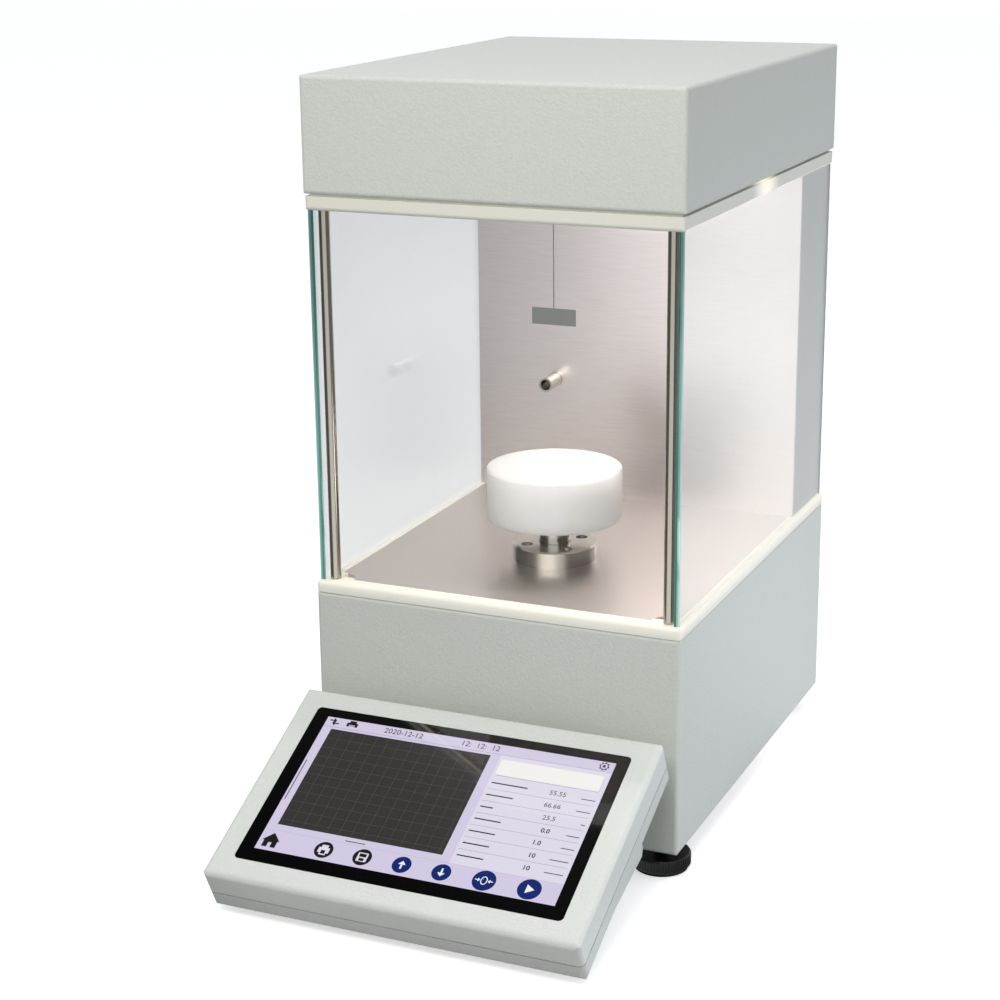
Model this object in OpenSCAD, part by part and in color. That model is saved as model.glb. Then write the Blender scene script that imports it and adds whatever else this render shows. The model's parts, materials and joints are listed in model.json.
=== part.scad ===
// Surface tensiometer: a box-shaped bench instrument with a glazed weighing
// chamber, a balance in its head, a motor-driven sample table and a
// touch-screen console in front of its base.
// Millimetres. +Z is up, +X is the instrument's right, and the front faces -Y.
// The origin is on the bench, under the middle of the whole outline.

/* [Housings] */
// Width of the painted housings
body_w = 196; // [190:1:220]
// Depth of the painted housings
body_d = 250; // [244:1:280]
// Height of the painted base
base_h = 112.5; // [110:0.5:130]
// Height of the painted head
head_h = 57; // [54:0.5:75]
// Wall thickness of the painted housings
wall = 2.5; // [2:0.1:3.5]
// Radius on the painted housings' outer edges
edge_r = 2; // [1:0.1:3]
// Thickness of the base's bottom plate
bottom_t = 2; // [1.5:0.1:3]
// Thickness of the rear cover's sheet
cover_t = 2; // [1:0.1:3]

/* [Chamber] */
// Clear height between the lower and the upper trim
chamber_h = 189; // [170:1:220]
// Distance from the housings' front to the back plate's face
back_y = 195; // [185:1:205]
// Thickness of the stainless back plate
back_t = 1.5; // [1:0.1:2.5]
// Height of the lower trim
trim_h = 6; // [5.5:0.1:9]
// Height of the upper trim
top_trim_h = 7; // [6:0.1:10]
// Height of the shadow gap between the upper trim and the head
shadow_h = 1; // [0.5:0.1:2]
// Distance that the upper trim stands in from the head's outline
trim_inset = 0.6; // [0.3:0.1:0.9]
// Width of the trims' side and rear rails
rail_w = 7; // [6.5:0.1:9]
// Width of the trims' front rail
front_rail_w = 7; // [6.5:0.1:11]
// Width of the ledge that carries the floor and the ceiling plate
ledge_w = 3; // [2:0.1:5]
// Radius of the trims' rounded outer edges
trim_r = 2; // [0.5:0.1:2.2]
// Thickness of the floor and the ceiling plate
liner_t = 2; // [1:0.1:2.5]
// Thickness of the glass panes
pane_t = 3; // [2.5:0.1:3.8]
// Distance of a pane's outer face from the housing's side
pane_inset = 1.3; // [1.1:0.1:1.6]
// Depth of the grooves that hold the panes
groove_d = 3; // [2:0.1:4]
// Diameter of the front posts
post_d = 5.5; // [4:0.1:6.2]
// Distance from the housing's side to a post's axis
post_x_inset = 8; // [7.9:0.1:10]
// Distance from the housing's front to a post's axis
post_y = 6.5; // [5:0.1:9]
// Radius of the bosses round the posts
boss_r = 9.5; // [5:0.1:10]

/* [Sample table] */
// Distance from the housings' front to the table's axis
stage_y = 81.3; // [70:0.1:95]
// Diameter of the sample table
table_d = 70.4; // [50:0.1:90]
// Height of the sample table
table_h = 27.4; // [15:0.1:35]
// Radius on the sample table's edges
table_r = 1.2; // [0.5:0.1:3]
// Diameter of the steel flange on the floor
flange_d = 44; // [36:0.1:56]
// Height of the steel flange
flange_h = 8.8; // [6:0.1:12]
// Diameter of the lifting shaft
shaft_d = 16; // [14:0.1:20]
// Length of shaft that shows under the table at rest
shaft_show = 13.3; // [13:0.1:20]
// Depth to which the shaft enters the table
shaft_seat = 8; // [4:0.1:12]
// Travel of the table above its rest place
travel_up = 40; // [20:1:40]
// Travel of the table below its rest place
travel_down = 12; // [5:1:12]

/* [Lift drive] */
// Outer diameter of the plain bush that guides the shaft
bush_d = 22; // [21:0.1:26]
// Length of the bush below the floor's face
bush_below = 10.5; // [6:0.1:11]
// Diameter of the lead screw
screw_d = 8; // [6:0.1:10]
// Width of the square stepper motor
motor_w = 42.3; // [35:0.1:50]
// Height of the stepper motor
motor_h = 34; // [20:0.5:34]
// Thickness of the plate that the motor hangs from
lift_plate_t = 4; // [3:0.1:5]
// Thickness of the carriage
carriage_t = 8; // [6:0.1:8]
// Diameter of the guide rods
rod_d = 6; // [5:0.1:8]
// Distance of the guide rods from the table's axis
rod_x = 22; // [18:0.1:26]
// Diameter of the nut's body
nut_d = 12; // [11:0.1:13]
// Diameter of the nut's flange
nut_flange_d = 22; // [18:0.1:24]
// Thickness of the nut's flange
nut_flange_t = 3; // [2:0.1:3]

/* [Balance] */
// Length of the load cell's bar
cell_l = 80; // [60:1:100]
// Width of the load cell's bar
cell_w = 16; // [12:0.1:20]
// Height of the load cell's bar
cell_h = 18; // [14:0.1:20]
// Diameter of the flexure bores in the bar
flex_d = 11; // [8:0.1:12]
// Height of the block under the bar's fixed end
cell_block_h = 8; // [4:0.1:10]
// Thickness of the plate that closes the head and carries the balance
head_plate_t = 3; // [2:0.1:4]
// Wire diameter of the balance's hook
hook_wire_d = 1; // [0.8:0.05:1.2]
// Bend radius of the balance's hook
hook_r = 3; // [2.5:0.1:4]
// Distance from the ceiling down to the hook's lowest wire axis
hook_drop = 9; // [8:0.5:12]
// Width of the weighing plate
plate_w = 24; // [19:0.1:30]
// Height of the weighing plate
plate_h = 8.6; // [6:0.1:12]
// Thickness of the weighing plate
plate_t = 0.2; // [0.1:0.05:0.4]
// Length of the straight wire above the weighing plate
wire_l = 45; // [30:0.5:55]
// Diameter of the weighing plate's wire
wire_d = 0.6; // [0.5:0.05:0.7]

/* [Probe sleeve] */
// Distance of the sleeve's axis left of the middle
probe_x = 46; // [30:1:70]
// Height of the sleeve's axis above the chamber floor
probe_z = 66.5; // [40:0.5:90]
// Length of sleeve in front of the back plate
probe_out = 15; // [8:0.5:25]
// Outer diameter of the sleeve
probe_d = 8; // [7:0.1:10]
// Bore of the sleeve
probe_bore_d = 6; // [4:0.1:6.2]

/* [Console] */
// Width of the console
console_w = 192; // [184:1:200]
// Length of the console along its slope
console_l = 122.2; // [116:0.1:130]
// Total thickness of the console
console_t = 25; // [24:0.1:30]
// Thickness of the console's back shell
console_back_t = 10.8; // [8:0.1:11]
// Radius on the console's outer edges
console_r = 3; // [1:0.1:4]
// Angle of the console's face above the bench
tilt = 26; // [22:1:32]
// Clearance between the console and the base
console_gap = 5; // [3:0.5:20]
// Clearance between the console and the bench
console_lift = 2.8; // [2:0.1:10]
// Width of the touch glass
glass_w = 168.3; // [164:0.1:172]
// Height of the touch glass
glass_h = 98.7; // [96:0.1:104]
// Thickness of the touch glass
glass_t = 2; // [1.5:0.1:2.4]
// Corner radius of the touch glass
glass_r = 2.5; // [1:0.1:5]
// Width of the display's lit area
lit_w = 154.1; // [150:0.1:156]
// Height of the display's lit area
lit_h = 85.9; // [82:0.1:88]
// Thickness of the display module
display_t = 6; // [4:0.1:7]
// Length of the bracket along the console's back
bracket_l = 88; // [76:1:96]
// Depth of the bracket at its upper end
bracket_h = 16; // [12:0.5:17]
// Sheet thickness of the bracket
bracket_t = 2; // [1.5:0.1:3]
// Distance of the bracket's ends from the console's ends
bracket_inset = 5; // [3:0.5:20]

/* [Feet] */
// Diameter of the levelling discs
foot_d = 29.8; // [24:0.1:32]
// Height of the levelling discs with their pads
foot_h = 8.5; // [7:0.1:12]
// Height of the gap between the discs and the base
foot_gap = 4; // [3.5:0.1:6]
// Distance of the feet's axes from the base's front and back, and of the front feet's from its sides
foot_inset = 12.8; // [12.4:0.1:16]
// Distance of the rear feet's axes from the base's sides
rear_foot_inset = 24; // [23:0.5:60]
// Diameter of the threaded studs
stud_d = 8; // [6:0.1:10]
// Thickness of the rubber pads
pad_t = 1.5; // [1:0.1:2]
// Number of grip flutes round a disc
flutes = 40; // [24:2:48]

/* [Hidden] */

// Colours
paint = "#d3d9d5";
bezel_paint = "#e4e8e4";
ivory = "#f4f2e2";
steel = "#b9bcbd";
black = "#1b1b1d";
brass = "#b8964f";
board_green = "#2f6b45";

// Clearances: between a running shaft and its bore, between pieces that are
// only set beside each other, and round a pane in its groove
run_gap = 0.05;
seat_gap = 0.1;
pane_gap = 0.2;
cut = 1;

// Heights above the bench
base_z = foot_h + foot_gap;
deck_z = base_z + base_h;
floor_z = deck_z + trim_h;
ceil_z = floor_z + chamber_h;
shadow_z = ceil_z + top_trim_h;
head_z = shadow_z + shadow_h;

// Console: its lower back edge, and how far the whole thing reaches forward
console_y = -console_gap - console_l * cos(tilt);
console_z = console_lift;
console_reach = -console_y + console_t * sin(tilt) - console_r * (cos(tilt) + sin(tilt) - 1);

// Place of the housings' front, so that the origin is in the middle; only the
// data port or a foot reaches past the housings' back
port_out = 5;
foot_out = foot_d / 2 - foot_inset;
front_y = (console_reach - body_d - max(foot_out, port_out)) / 2;

// Ways for cables through the deck, the floor, the ceiling and the head plate
cable_y = (back_y + body_d) / 2;
cable_d = 24;

// Vents in the base, the rear cover and the bottom plate
vent_w = 3;
vent_h = 26;
vent_step = 7;
vent_n = 9;
vent_rise = 0.68 * base_h;
floor_vent_h = 22;
floor_vent_step = 9;
floor_vent_n = 5;
floor_vent_y = 38;

// Bottom plate and the lips that it is screwed to
bottom_z = base_z + 1;
lip_w = 12;
lip_end = 30;

// Half widths inside the chamber
pane_x = body_w / 2 - pane_inset - pane_t;
column_x = pane_x - pane_gap;
post_x = body_w / 2 - post_x_inset;
liner_x = body_w / 2 - rail_w;
liner_d = body_d - front_rail_w - rail_w;
trim_open_w = 2 * (liner_x - ledge_w);
trim_open_d = liner_d - 2 * ledge_w;
cover_y = body_d - cover_t;
pane_end = trim_inset + trim_r;
shadow_inset = 3;
column_lip = 14;
rear_screw_d = 3;
rear_screw_in = 7;
post_hole_d = post_d + 2 * run_gap;

// Lamp above the ceiling plate: its window's place, length and width
lamp_y = body_d / 2;
lamp_w = 150;
lamp_d = 12;
lamp_r = 4;
lamp_rim = 3;
lamp_rim_t = 1;

// Probe sleeve behind the back plate, and its nut
probe_behind = 9;
probe_end_t = 2;
probe_nut_w = 13;
probe_nut_h = 5;
probe_way_d = 20;

// Sample table and its drive
table_z = floor_z + flange_h + shaft_show;
bush_bottom_z = floor_z - bush_below;
carriage_top_z = bush_bottom_z - travel_up - cut;
carriage_z = carriage_top_z - carriage_t;
lift_plate_z = carriage_z - nut_flange_t - travel_down - cut - lift_plate_t;
motor_z = lift_plate_z - motor_h;
deck_under_z = deck_z - wall;
screw_top_z = deck_under_z;
screw_in_motor = 18;
shaft_bore_z = screw_top_z + travel_down + 3;
carriage_w = 2 * rod_x + 16;
carriage_d = 24;
spacer_d = 8;
spacer_x = carriage_w / 2 + 1;
spacer_y = carriage_d / 2 + spacer_d / 2 + 5;
lift_plate_w = 2 * spacer_x + spacer_d + 6;
lift_plate_d = 2 * spacer_y + spacer_d + 6;
lift_plate_r = 4;
lift_plate_hole_d = screw_d + 4;
rod_seat = 0.5;
motor_chamfer = 4;

// Screws that hold the flange, the shaft's bush and the deck together
flange_screw_d = 3;
flange_screw_pcd = (bush_d + flange_d) / 2 - 2;
flange_sink_d = 6.2;
flange_sink_h = 3;
flange_chamfer = 0.8;
flange_lip_t = 1.2;
flange_lip_gap = 0.4;
deck_hole_d = bush_d + 2;

// Balance
hook_z = ceil_z - hook_drop;
cell_z = head_z + wall + head_plate_t + cell_block_h;
cell_free = 8;
hook_top_z = cell_z + 12;
hook_tip_h = 2.5;
hook_hole_d = 14;
flex_step = 22;
flex_slot_h = 2;
cell_foot_l = 22;
cell_foot_w = cell_w + 8;
hanger_rise = 1.25;
eye = [[2.3, 1.9], [0, 3.8], [-3.1, 1.5]];
wire_top_z = hook_z + hanger_rise - eye[1].y;
wire_bottom_z = wire_top_z - wire_l;

// Shells of the console, with the shadow line between them, and the way for
// its cable
shell_t = 2.5;
seam_w = 0.8;
seam_d = 1;
console_way_y = 70;
console_way_d = 18;

// Display module: its lit area lies off the middle of the touch glass
lit_dx = 0.7;
lit_dy = 1.1;
lit_rim = 4;

// Bracket under the console
bracket_x = console_w / 2 - bracket_inset;
bracket_low_y = 6;
bracket_low_h = 1.5 * bracket_t;
bracket_toe = 3;
bracket_heel = 0.7 * bracket_h + 1.3;
neck_w = 110;
neck_h = 14;
neck_wall = 2;
neck_end_t = 3;
neck_z = base_z + 21;
neck_way_w = 80;
neck_way_h = 6;
neck_way_r = 2;
bracket_screw_d = 4;
bracket_screw_in = 5;

// Mains inlet, switch and data port in the base's back
inlet_side_in = 32;
inlet_rise = 34;
inlet_x = body_w / 2 - inlet_side_in;
inlet_z = base_z + inlet_rise;
inlet_w = 27.5;
inlet_h = 20;
inlet_in = 20;
inlet_rim = 3;
inlet_rim_t = 1.6;
inlet_recess_d = 14;
rocker_step = 28;
rocker_x = inlet_x - rocker_step;
rocker_w = 13;
rocker_h = 19.5;
rocker_in = 14;
rocker_rim = 1;
rocker_wall = 1.5;
rocker_pivot_in = 2.5;
rocker_pin_d = 2;
rocker_pin_l = rocker_w - 1.2;
rocker_tilt = 10;
rocker_gap = 0.4;
rocker_keel = 4;
rocker_keel_w = 6;
rocker_edge_in = 1;
rocker_face = 4.2;
rocker_dip = 2.8;
port_side_in = 38;
port_x = port_side_in - body_w / 2;
port_w = 17;
port_h = 8.6;
port_in = 10;
port_wall = 0.5;
port_plate = [30.8, 1, 12.4];
port_screw_x = 12.5;
port_screw_d = 5;

// Circuit boards on hexagonal standoffs; a block is its x, its y and its size.
// The main board and the power supply lie between the lips, clear of the inlet.
board_t = 1.6;
board_inset = 5;
board_gap = 0.5;
board_back_in = 30;
standoff_d = 6;
main_board_size = [78, 90];
main_board_in = wall + lip_w + board_gap + standoff_d / 2 - board_inset;
main_board_x = main_board_in + (main_board_size.x - body_w) / 2;
main_board_at = [main_board_x, body_d - board_back_in - main_board_size.y];
main_board_rise = 8;
main_blocks = [[0, 30, 26, 26, 3], [-26, 60, 16, 20, 9], [24, 8, 18, 14, 12]];
cell_board_side_in = 48;
cell_board_x = body_w / 2 - cell_board_side_in;
cell_board_size = [52, 68];
cell_board_rise = 6;
cell_blocks = [[0, 10, 18, 18, 2.4], [-8, 40, 12, 20, 5]];
console_board_y = 18;
console_board_size = [132, 84];
console_board_rise = 3;
console_blocks = [[0, 22, 28, 28, 3], [-40, 42, 20, 30, 5]];
supply_size = [62, 84, 30];
supply_gap = 4;
supply_x = (body_w - supply_size.x) / 2 - wall - lip_w - supply_gap;
supply_at = [supply_x, body_d - board_back_in - supply_size.y];
supply_vent_n = 9;
supply_vent_step = 6;
supply_vent_w = 2.4;
supply_vent_l = 60;
supply_vent_d = 2;

// Feet: their places as seen from the front, and their parts
foot_fl = [foot_inset - body_w / 2, foot_inset];
foot_fr = [-foot_fl.x, foot_inset];
foot_bl = [rear_foot_inset - body_w / 2, body_d - foot_inset];
foot_br = [-foot_bl.x, foot_bl.y];
foot_nut_h = 8;
foot_nut_w = 16;
stud_in = foot_nut_h + 4;
stud_way_d = stud_d + 1;
disc_z = pad_t + seat_gap;
disc_h = foot_h - disc_z;
disc_chamfer = 0.8;
flute_d = 0.5;
pad_d = foot_d - 3;

module in_body() {
    translate([0, front_y, 0]) children();
}

module on_stage() {
    in_body() translate([0, stage_y, 0]) children();
}

// The console's own frame: x across, y up the slope, z out of its face
module on_console() {
    in_body() in_console_frame() children();
}

module in_console_frame() {
    translate([0, console_y, console_z]) rotate([tilt, 0, 0]) children();
}

// Box centred in x that starts at y = 0 and z = 0
module block(size) {
    translate([-size.x / 2, 0, 0]) cube(size);
}

// The same box with every edge rounded: three rounded bars that cross
module soft_box(size, r) {
    translate([0, size.y / 2, size.z / 2]) intersection() {
        linear_extrude(size.z, center = true) round_rect(size.x, size.y, r);
        rotate([90, 0, 0]) linear_extrude(size.y, center = true) round_rect(size.x, size.z, r);
        rotate([90, 0, 90]) linear_extrude(size.x, center = true) round_rect(size.y, size.z, r);
    }
}

// Rectangle with round corners, centred
module round_rect(w, h, r) {
    union() {
        square([w, h - 2 * r], center = true);
        square([w - 2 * r, h], center = true);
        for (x = [-1, 1], y = [-1, 1])
            translate([x * (w / 2 - r), y * (h / 2 - r)]) circle(r, $fn = 48);
    }
}

// Upright slot with round ends, centred
module slot(w, h) {
    square([w, h - w], center = true);
    for (y = [-1, 1])
        translate([0, y * (h - w) / 2]) circle(w / 2, $fn = 32);
}

// A flat outline in x and z, cut through a wall that faces +y
module through_back(depth) {
    rotate([90, 0, 0]) translate([0, 0, -depth / 2]) linear_extrude(depth) children();
}

module tube(d, bore, h) {
    difference() {
        cylinder(d = d, h = h, $fn = 96);
        translate([0, 0, -cut]) cylinder(d = bore, h = h + 2 * cut, $fn = 96);
    }
}

// Low cap screw with its head upwards, z = 0 under the head
module cap_screw(d, l) {
    head_d = 1.8 * d;
    head_h = 0.6 * d;
    socket_w = 0.78 * d;
    socket_floor = 0.25 * d;
    difference() {
        union() {
            cylinder(d = head_d, h = head_h, $fn = 48);
            translate([0, 0, -l]) cylinder(d = d, h = l + socket_floor / 2, $fn = 48);
        }
        translate([0, 0, socket_floor]) cylinder(d = socket_w / cos(30), h = head_h, $fn = 6);
    }
}

module row_of_vents(n, step, w, h) {
    for (i = [0 : n - 1])
        translate([(i - (n - 1) / 2) * step, 0]) slot(w, h);
}

// Round hole upwards through a sheet whose underside is at z = 0
module hole(d, t) {
    translate([0, 0, -cut]) cylinder(d = d, h = t + 2 * cut, $fn = 64);
}

// Circuit board on four standoffs, centred in x, from y = 0 and z = 0
module board(size, rise, blocks) {
    for (x = [-1, 1], y = [board_inset, size.y - board_inset])
        translate([x * (size.x / 2 - board_inset), y, 0]) cylinder(d = standoff_d, h = rise, $fn = 6);
    translate([0, 0, rise]) block([size.x, size.y, board_t]);
    for (b = blocks)
        translate([b[0], b[1], rise + board_t]) block([b[2], b[3], b[4]]);
}

// ---------------------------------------------------------------- housings

module base_shell() {
    inner_w = body_w - 2 * wall;
    inner_d = body_d - 2 * wall;
    lip_l = inner_d - 2 * lip_end;
    color(paint) in_body() {
        difference() {
            translate([0, 0, base_z]) soft_box([body_w, body_d, base_h], edge_r);
            translate([0, wall, base_z - cut]) block([inner_w, inner_d, base_h - wall + cut]);
            translate([0, stage_y, deck_under_z]) hole(deck_hole_d, wall);
            translate([0, cable_y, deck_under_z]) hole(cable_d, wall);
            translate([0, wall / 2, neck_z])
                through_back(4 * wall) round_rect(neck_way_w, neck_way_h, neck_way_r);
            at_bracket_screws() cylinder(d = bracket_screw_d, h = 4 * wall, center = true, $fn = 32);
            translate([0, body_d - wall / 2, inlet_z]) {
                through_back(4 * wall) {
                    translate([inlet_x, 0]) square([inlet_w, inlet_h], center = true);
                    translate([rocker_x, 0]) square([rocker_w, rocker_h], center = true);
                    translate([port_x, 0]) square([port_w, port_h], center = true);
                }
            }
            translate([0, body_d - wall / 2, base_z + vent_rise])
                through_back(4 * wall) row_of_vents(vent_n, vent_step, vent_w, vent_h);
        }
        // Bent lips that take the bottom plate's screws
        for (side = [-1, 1])
            translate([side * (inner_w - lip_w) / 2, (body_d - lip_l) / 2, bottom_z + bottom_t])
                block([lip_w, lip_l, wall]);
    }
}

module bottom_plate() {
    plate_w = body_w - 2 * wall - 2 * seat_gap;
    plate_d = body_d - 2 * wall - 2 * seat_gap;
    color(steel) in_body() difference() {
        translate([0, wall + seat_gap, bottom_z]) block([plate_w, plate_d, bottom_t]);
        at_feet() translate([0, 0, bottom_z]) hole(stud_way_d, bottom_t);
        for (side = [-1, 1])
            translate([0, stage_y + side * floor_vent_y, bottom_z - cut]) linear_extrude(bottom_t + 2 * cut)
                row_of_vents(floor_vent_n, floor_vent_step, vent_w, floor_vent_h);
    }
}

module foot_nuts() {
    color(steel) in_body() at_feet() translate([0, 0, bottom_z + bottom_t]) difference() {
        cylinder(d = foot_nut_w / cos(30), h = foot_nut_h, $fn = 6);
        hole(stud_d + 2 * run_gap, foot_nut_h);
    }
}

// Frame that glows from inside: round outer edges, round bosses at the front
// posts, a ledge for the liner plate and a groove for each pane. It lies with
// its chamber face at z = 0 and its ledge towards -z.
module trim_frame(h, inset) {
    difference() {
        intersection() {
            translate([0, inset, -2 * h]) soft_box([body_w - 2 * inset, body_d - 2 * inset, 2 * h], trim_r);
            translate([0, 0, -h]) block([body_w, body_d, h + cut]);
        }
        translate([0, front_rail_w + ledge_w, -h - cut]) block([trim_open_w, trim_open_d, h + 2 * cut]);
        liner_pocket(liner_t + cut);
        for (side = [-1, 1]) {
            translate([side * (pane_x + pane_t / 2), pane_end - pane_gap, -groove_d])
                block([pane_t + 2 * pane_gap, body_d - 2 * pane_end + 2 * pane_gap, groove_d + cut]);
            translate([side * post_x, post_y, -h]) hole(post_hole_d, h);
        }
    }
}

// Room for the floor or ceiling plate inside a trim
module liner_pocket(h) {
    translate([0, 0, -liner_t]) linear_extrude(h) difference() {
        translate([-liner_x, front_rail_w]) square([2 * liner_x, liner_d]);
        for (side = [-1, 1])
            translate([side * post_x, post_y]) circle(boss_r, $fn = 96);
    }
}

module base_trim() {
    color(ivory) in_body() translate([0, 0, floor_z]) trim_frame(trim_h, 0);
}

module head_trim() {
    color(ivory) in_body() {
        translate([0, 0, ceil_z]) mirror([0, 0, 1]) trim_frame(top_trim_h, trim_inset);
        // Neck that makes the shadow gap
        translate([0, 0, shadow_z]) difference() {
            translate([0, shadow_inset, 0])
                block([body_w - 2 * shadow_inset, body_d - 2 * shadow_inset, shadow_h]);
            translate([0, front_rail_w + ledge_w, -cut])
                block([trim_open_w, trim_open_d, shadow_h + 2 * cut]);
            for (side = [-1, 1])
                translate([side * post_x, post_y, 0]) hole(post_hole_d, shadow_h);
        }
    }
}

// Outline of the floor and the ceiling plate, a little smaller than its pocket
module liner_outline() {
    difference() {
        translate([-liner_x + seat_gap, front_rail_w + seat_gap])
            square([2 * (liner_x - seat_gap), liner_d - 2 * seat_gap]);
        for (side = [-1, 1])
            translate([side * post_x, post_y]) circle(boss_r + seat_gap, $fn = 96);
    }
}

module chamber_floor() {
    color(steel) in_body() translate([0, 0, floor_z - liner_t]) difference() {
        linear_extrude(liner_t) liner_outline();
        translate([0, stage_y, 0]) {
            hole(bush_d + 1, liner_t);
            at_flange_screws() hole(flange_screw_d + 2 * seat_gap, liner_t);
        }
        translate([0, cable_y, 0]) hole(cable_d, liner_t);
    }
}

module ceiling_plate() {
    color(steel) in_body() translate([0, 0, ceil_z]) difference() {
        linear_extrude(liner_t) liner_outline();
        translate([0, stage_y + hook_r, 0]) hole(hook_hole_d, liner_t);
        translate([0, lamp_y, -cut]) linear_extrude(liner_t + 2 * cut) round_rect(lamp_w, lamp_d, lamp_r);
        translate([0, cable_y, 0]) hole(cable_d, liner_t);
    }
}

module lamp_diffuser() {
    color(ivory) in_body() translate([0, lamp_y, ceil_z]) {
        linear_extrude(liner_t) round_rect(lamp_w - 2 * seat_gap, lamp_d - 2 * seat_gap, lamp_r - seat_gap);
        translate([0, 0, liner_t]) linear_extrude(lamp_rim_t)
            round_rect(lamp_w + 2 * lamp_rim, lamp_d + 2 * lamp_rim, lamp_r);
    }
}

module lamp_board() {
    color(board_green) in_body()
        translate([0, lamp_y - lamp_d / 2 - lamp_rim, ceil_z + liner_t + lamp_rim_t])
            block([lamp_w + lamp_rim, lamp_d + 2 * lamp_rim, board_t]);
}

module back_plate() {
    color(steel) in_body() difference() {
        translate([0, back_y, floor_z]) block([2 * column_x, back_t, chamber_h]);
        translate([-probe_x, back_y + back_t / 2, floor_z + probe_z])
            rotate([90, 0, 0]) cylinder(d = probe_d + 2 * seat_gap, h = 4 * back_t, center = true, $fn = 64);
    }
}

module column() {
    front = back_y + back_t;
    depth = cover_y - front;
    color(paint) in_body() difference() {
        translate([0, front, floor_z]) block([2 * column_x, depth, chamber_h]);
        translate([0, front + wall, floor_z - cut])
            block([2 * (column_x - wall), depth - 2 * wall, chamber_h + 2 * cut]);
        translate([0, front + wall, floor_z + column_lip])
            block([2 * (column_x - column_lip), depth + cut, chamber_h - 2 * column_lip]);
        translate([-probe_x, front + wall / 2, floor_z + probe_z])
            rotate([90, 0, 0]) cylinder(d = probe_way_d, h = 4 * wall, center = true, $fn = 64);
    }
}

module at_rear_screws() {
    step_x = column_x - rear_screw_in;
    step_z = chamber_h / 2 - rear_screw_in;
    for (x = [-1, 1], z = [-1, 0, 1])
        translate([x * step_x, body_d, floor_z + chamber_h / 2 + z * step_z]) rotate([-90, 0, 0]) children();
}

module rear_cover() {
    color(paint) in_body() difference() {
        translate([0, cover_y, floor_z]) block([2 * column_x, cover_t, chamber_h]);
        translate([0, cover_y + cover_t / 2, floor_z + chamber_h / 2])
            through_back(4 * cover_t) row_of_vents(vent_n, vent_step, vent_w, vent_h);
        at_rear_screws() cylinder(d = rear_screw_d + 2 * seat_gap, h = 4 * cover_t, center = true, $fn = 32);
    }
}

module rear_screws() {
    color(steel) in_body() at_rear_screws() cap_screw(rear_screw_d, cover_t);
}

module head_shell() {
    color(paint) in_body() difference() {
        translate([0, 0, head_z]) soft_box([body_w, body_d, head_h], edge_r);
        translate([0, wall, head_z - cut])
            block([body_w - 2 * wall, body_d - 2 * wall, head_h - wall + cut]);
    }
}

module head_plate() {
    color(steel) in_body() difference() {
        translate([0, wall + seat_gap, head_z])
            block([body_w - 2 * wall - 2 * seat_gap, body_d - 2 * wall - 2 * seat_gap, head_plate_t]);
        translate([0, stage_y + hook_r, head_z]) hole(hook_hole_d, head_plate_t);
        translate([0, cable_y, head_z]) hole(cable_d, head_plate_t);
    }
}

module front_posts() {
    color(steel) in_body()
        for (side = [-1, 1])
            translate([side * post_x, post_y, deck_z]) cylinder(d = post_d, h = head_z - deck_z, $fn = 64);
}

module pane() {
    color("#cfe6df", 0.4) in_body()
        translate([pane_x, pane_end, floor_z - groove_d + pane_gap])
            cube([pane_t, body_d - 2 * pane_end, chamber_h + 2 * groove_d - 2 * pane_gap]);
}

module glass_right() {
    pane();
}

module glass_left() {
    mirror([1, 0, 0]) pane();
}

module at_probe() {
    in_body() translate([-probe_x, back_y, floor_z + probe_z]) rotate([90, 0, 0]) children();
}

module probe_sleeve() {
    color(steel) at_probe() translate([0, 0, -probe_behind]) difference() {
        cylinder(d = probe_d, h = probe_behind + probe_out, $fn = 64);
        translate([0, 0, probe_end_t]) cylinder(d = probe_bore_d, h = probe_behind + probe_out, $fn = 64);
    }
}

module probe_nut() {
    color(steel) at_probe() translate([0, 0, -back_t - probe_nut_h]) difference() {
        cylinder(d = probe_nut_w / cos(30), h = probe_nut_h, $fn = 6);
        hole(probe_d + 2 * seat_gap, probe_nut_h);
    }
}

// ------------------------------------------------------- sample table, lift

module at_flange_screws() {
    for (a = [45 : 90 : 315])
        rotate(a) translate([flange_screw_pcd / 2, 0, 0]) children();
}

// Flange whose lip covers the end of the bush
module lift_flange() {
    bore_r = bush_d / 2 + seat_gap;
    lip_r = shaft_d / 2 + flange_lip_gap;
    lip_z = flange_h - flange_lip_t;
    rim_r = flange_d / 2;
    color(steel) on_stage() translate([0, 0, floor_z]) difference() {
        rotate_extrude($fn = 128)
            polygon([
                [bore_r, 0], [rim_r, 0], [rim_r, flange_h - flange_chamfer],
                [rim_r - flange_chamfer, flange_h], [lip_r, flange_h], [lip_r, lip_z], [bore_r, lip_z]]);
        at_flange_screws() {
            hole(flange_screw_d + 2 * seat_gap, flange_h);
            translate([0, 0, flange_h - flange_sink_h])
                cylinder(d = flange_sink_d, h = flange_sink_h + cut, $fn = 48);
        }
    }
}

module flange_screws() {
    under_head = flange_h - flange_sink_h;
    color(steel) on_stage() translate([0, 0, floor_z + under_head])
        at_flange_screws() cap_screw(flange_screw_d, under_head + liner_t);
}

module lift_bush() {
    color(brass) on_stage() translate([0, 0, bush_bottom_z])
        tube(bush_d, shaft_d + 2 * run_gap, bush_below + flange_h - flange_lip_t - seat_gap);
}

module lift_shaft() {
    color(steel) on_stage() difference() {
        translate([0, 0, carriage_top_z])
            cylinder(d = shaft_d, h = table_z + shaft_seat - carriage_top_z, $fn = 96);
        translate([0, 0, carriage_top_z - cut])
            cylinder(d = screw_d + 1, h = shaft_bore_z - carriage_top_z + cut, $fn = 64);
    }
}

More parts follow.
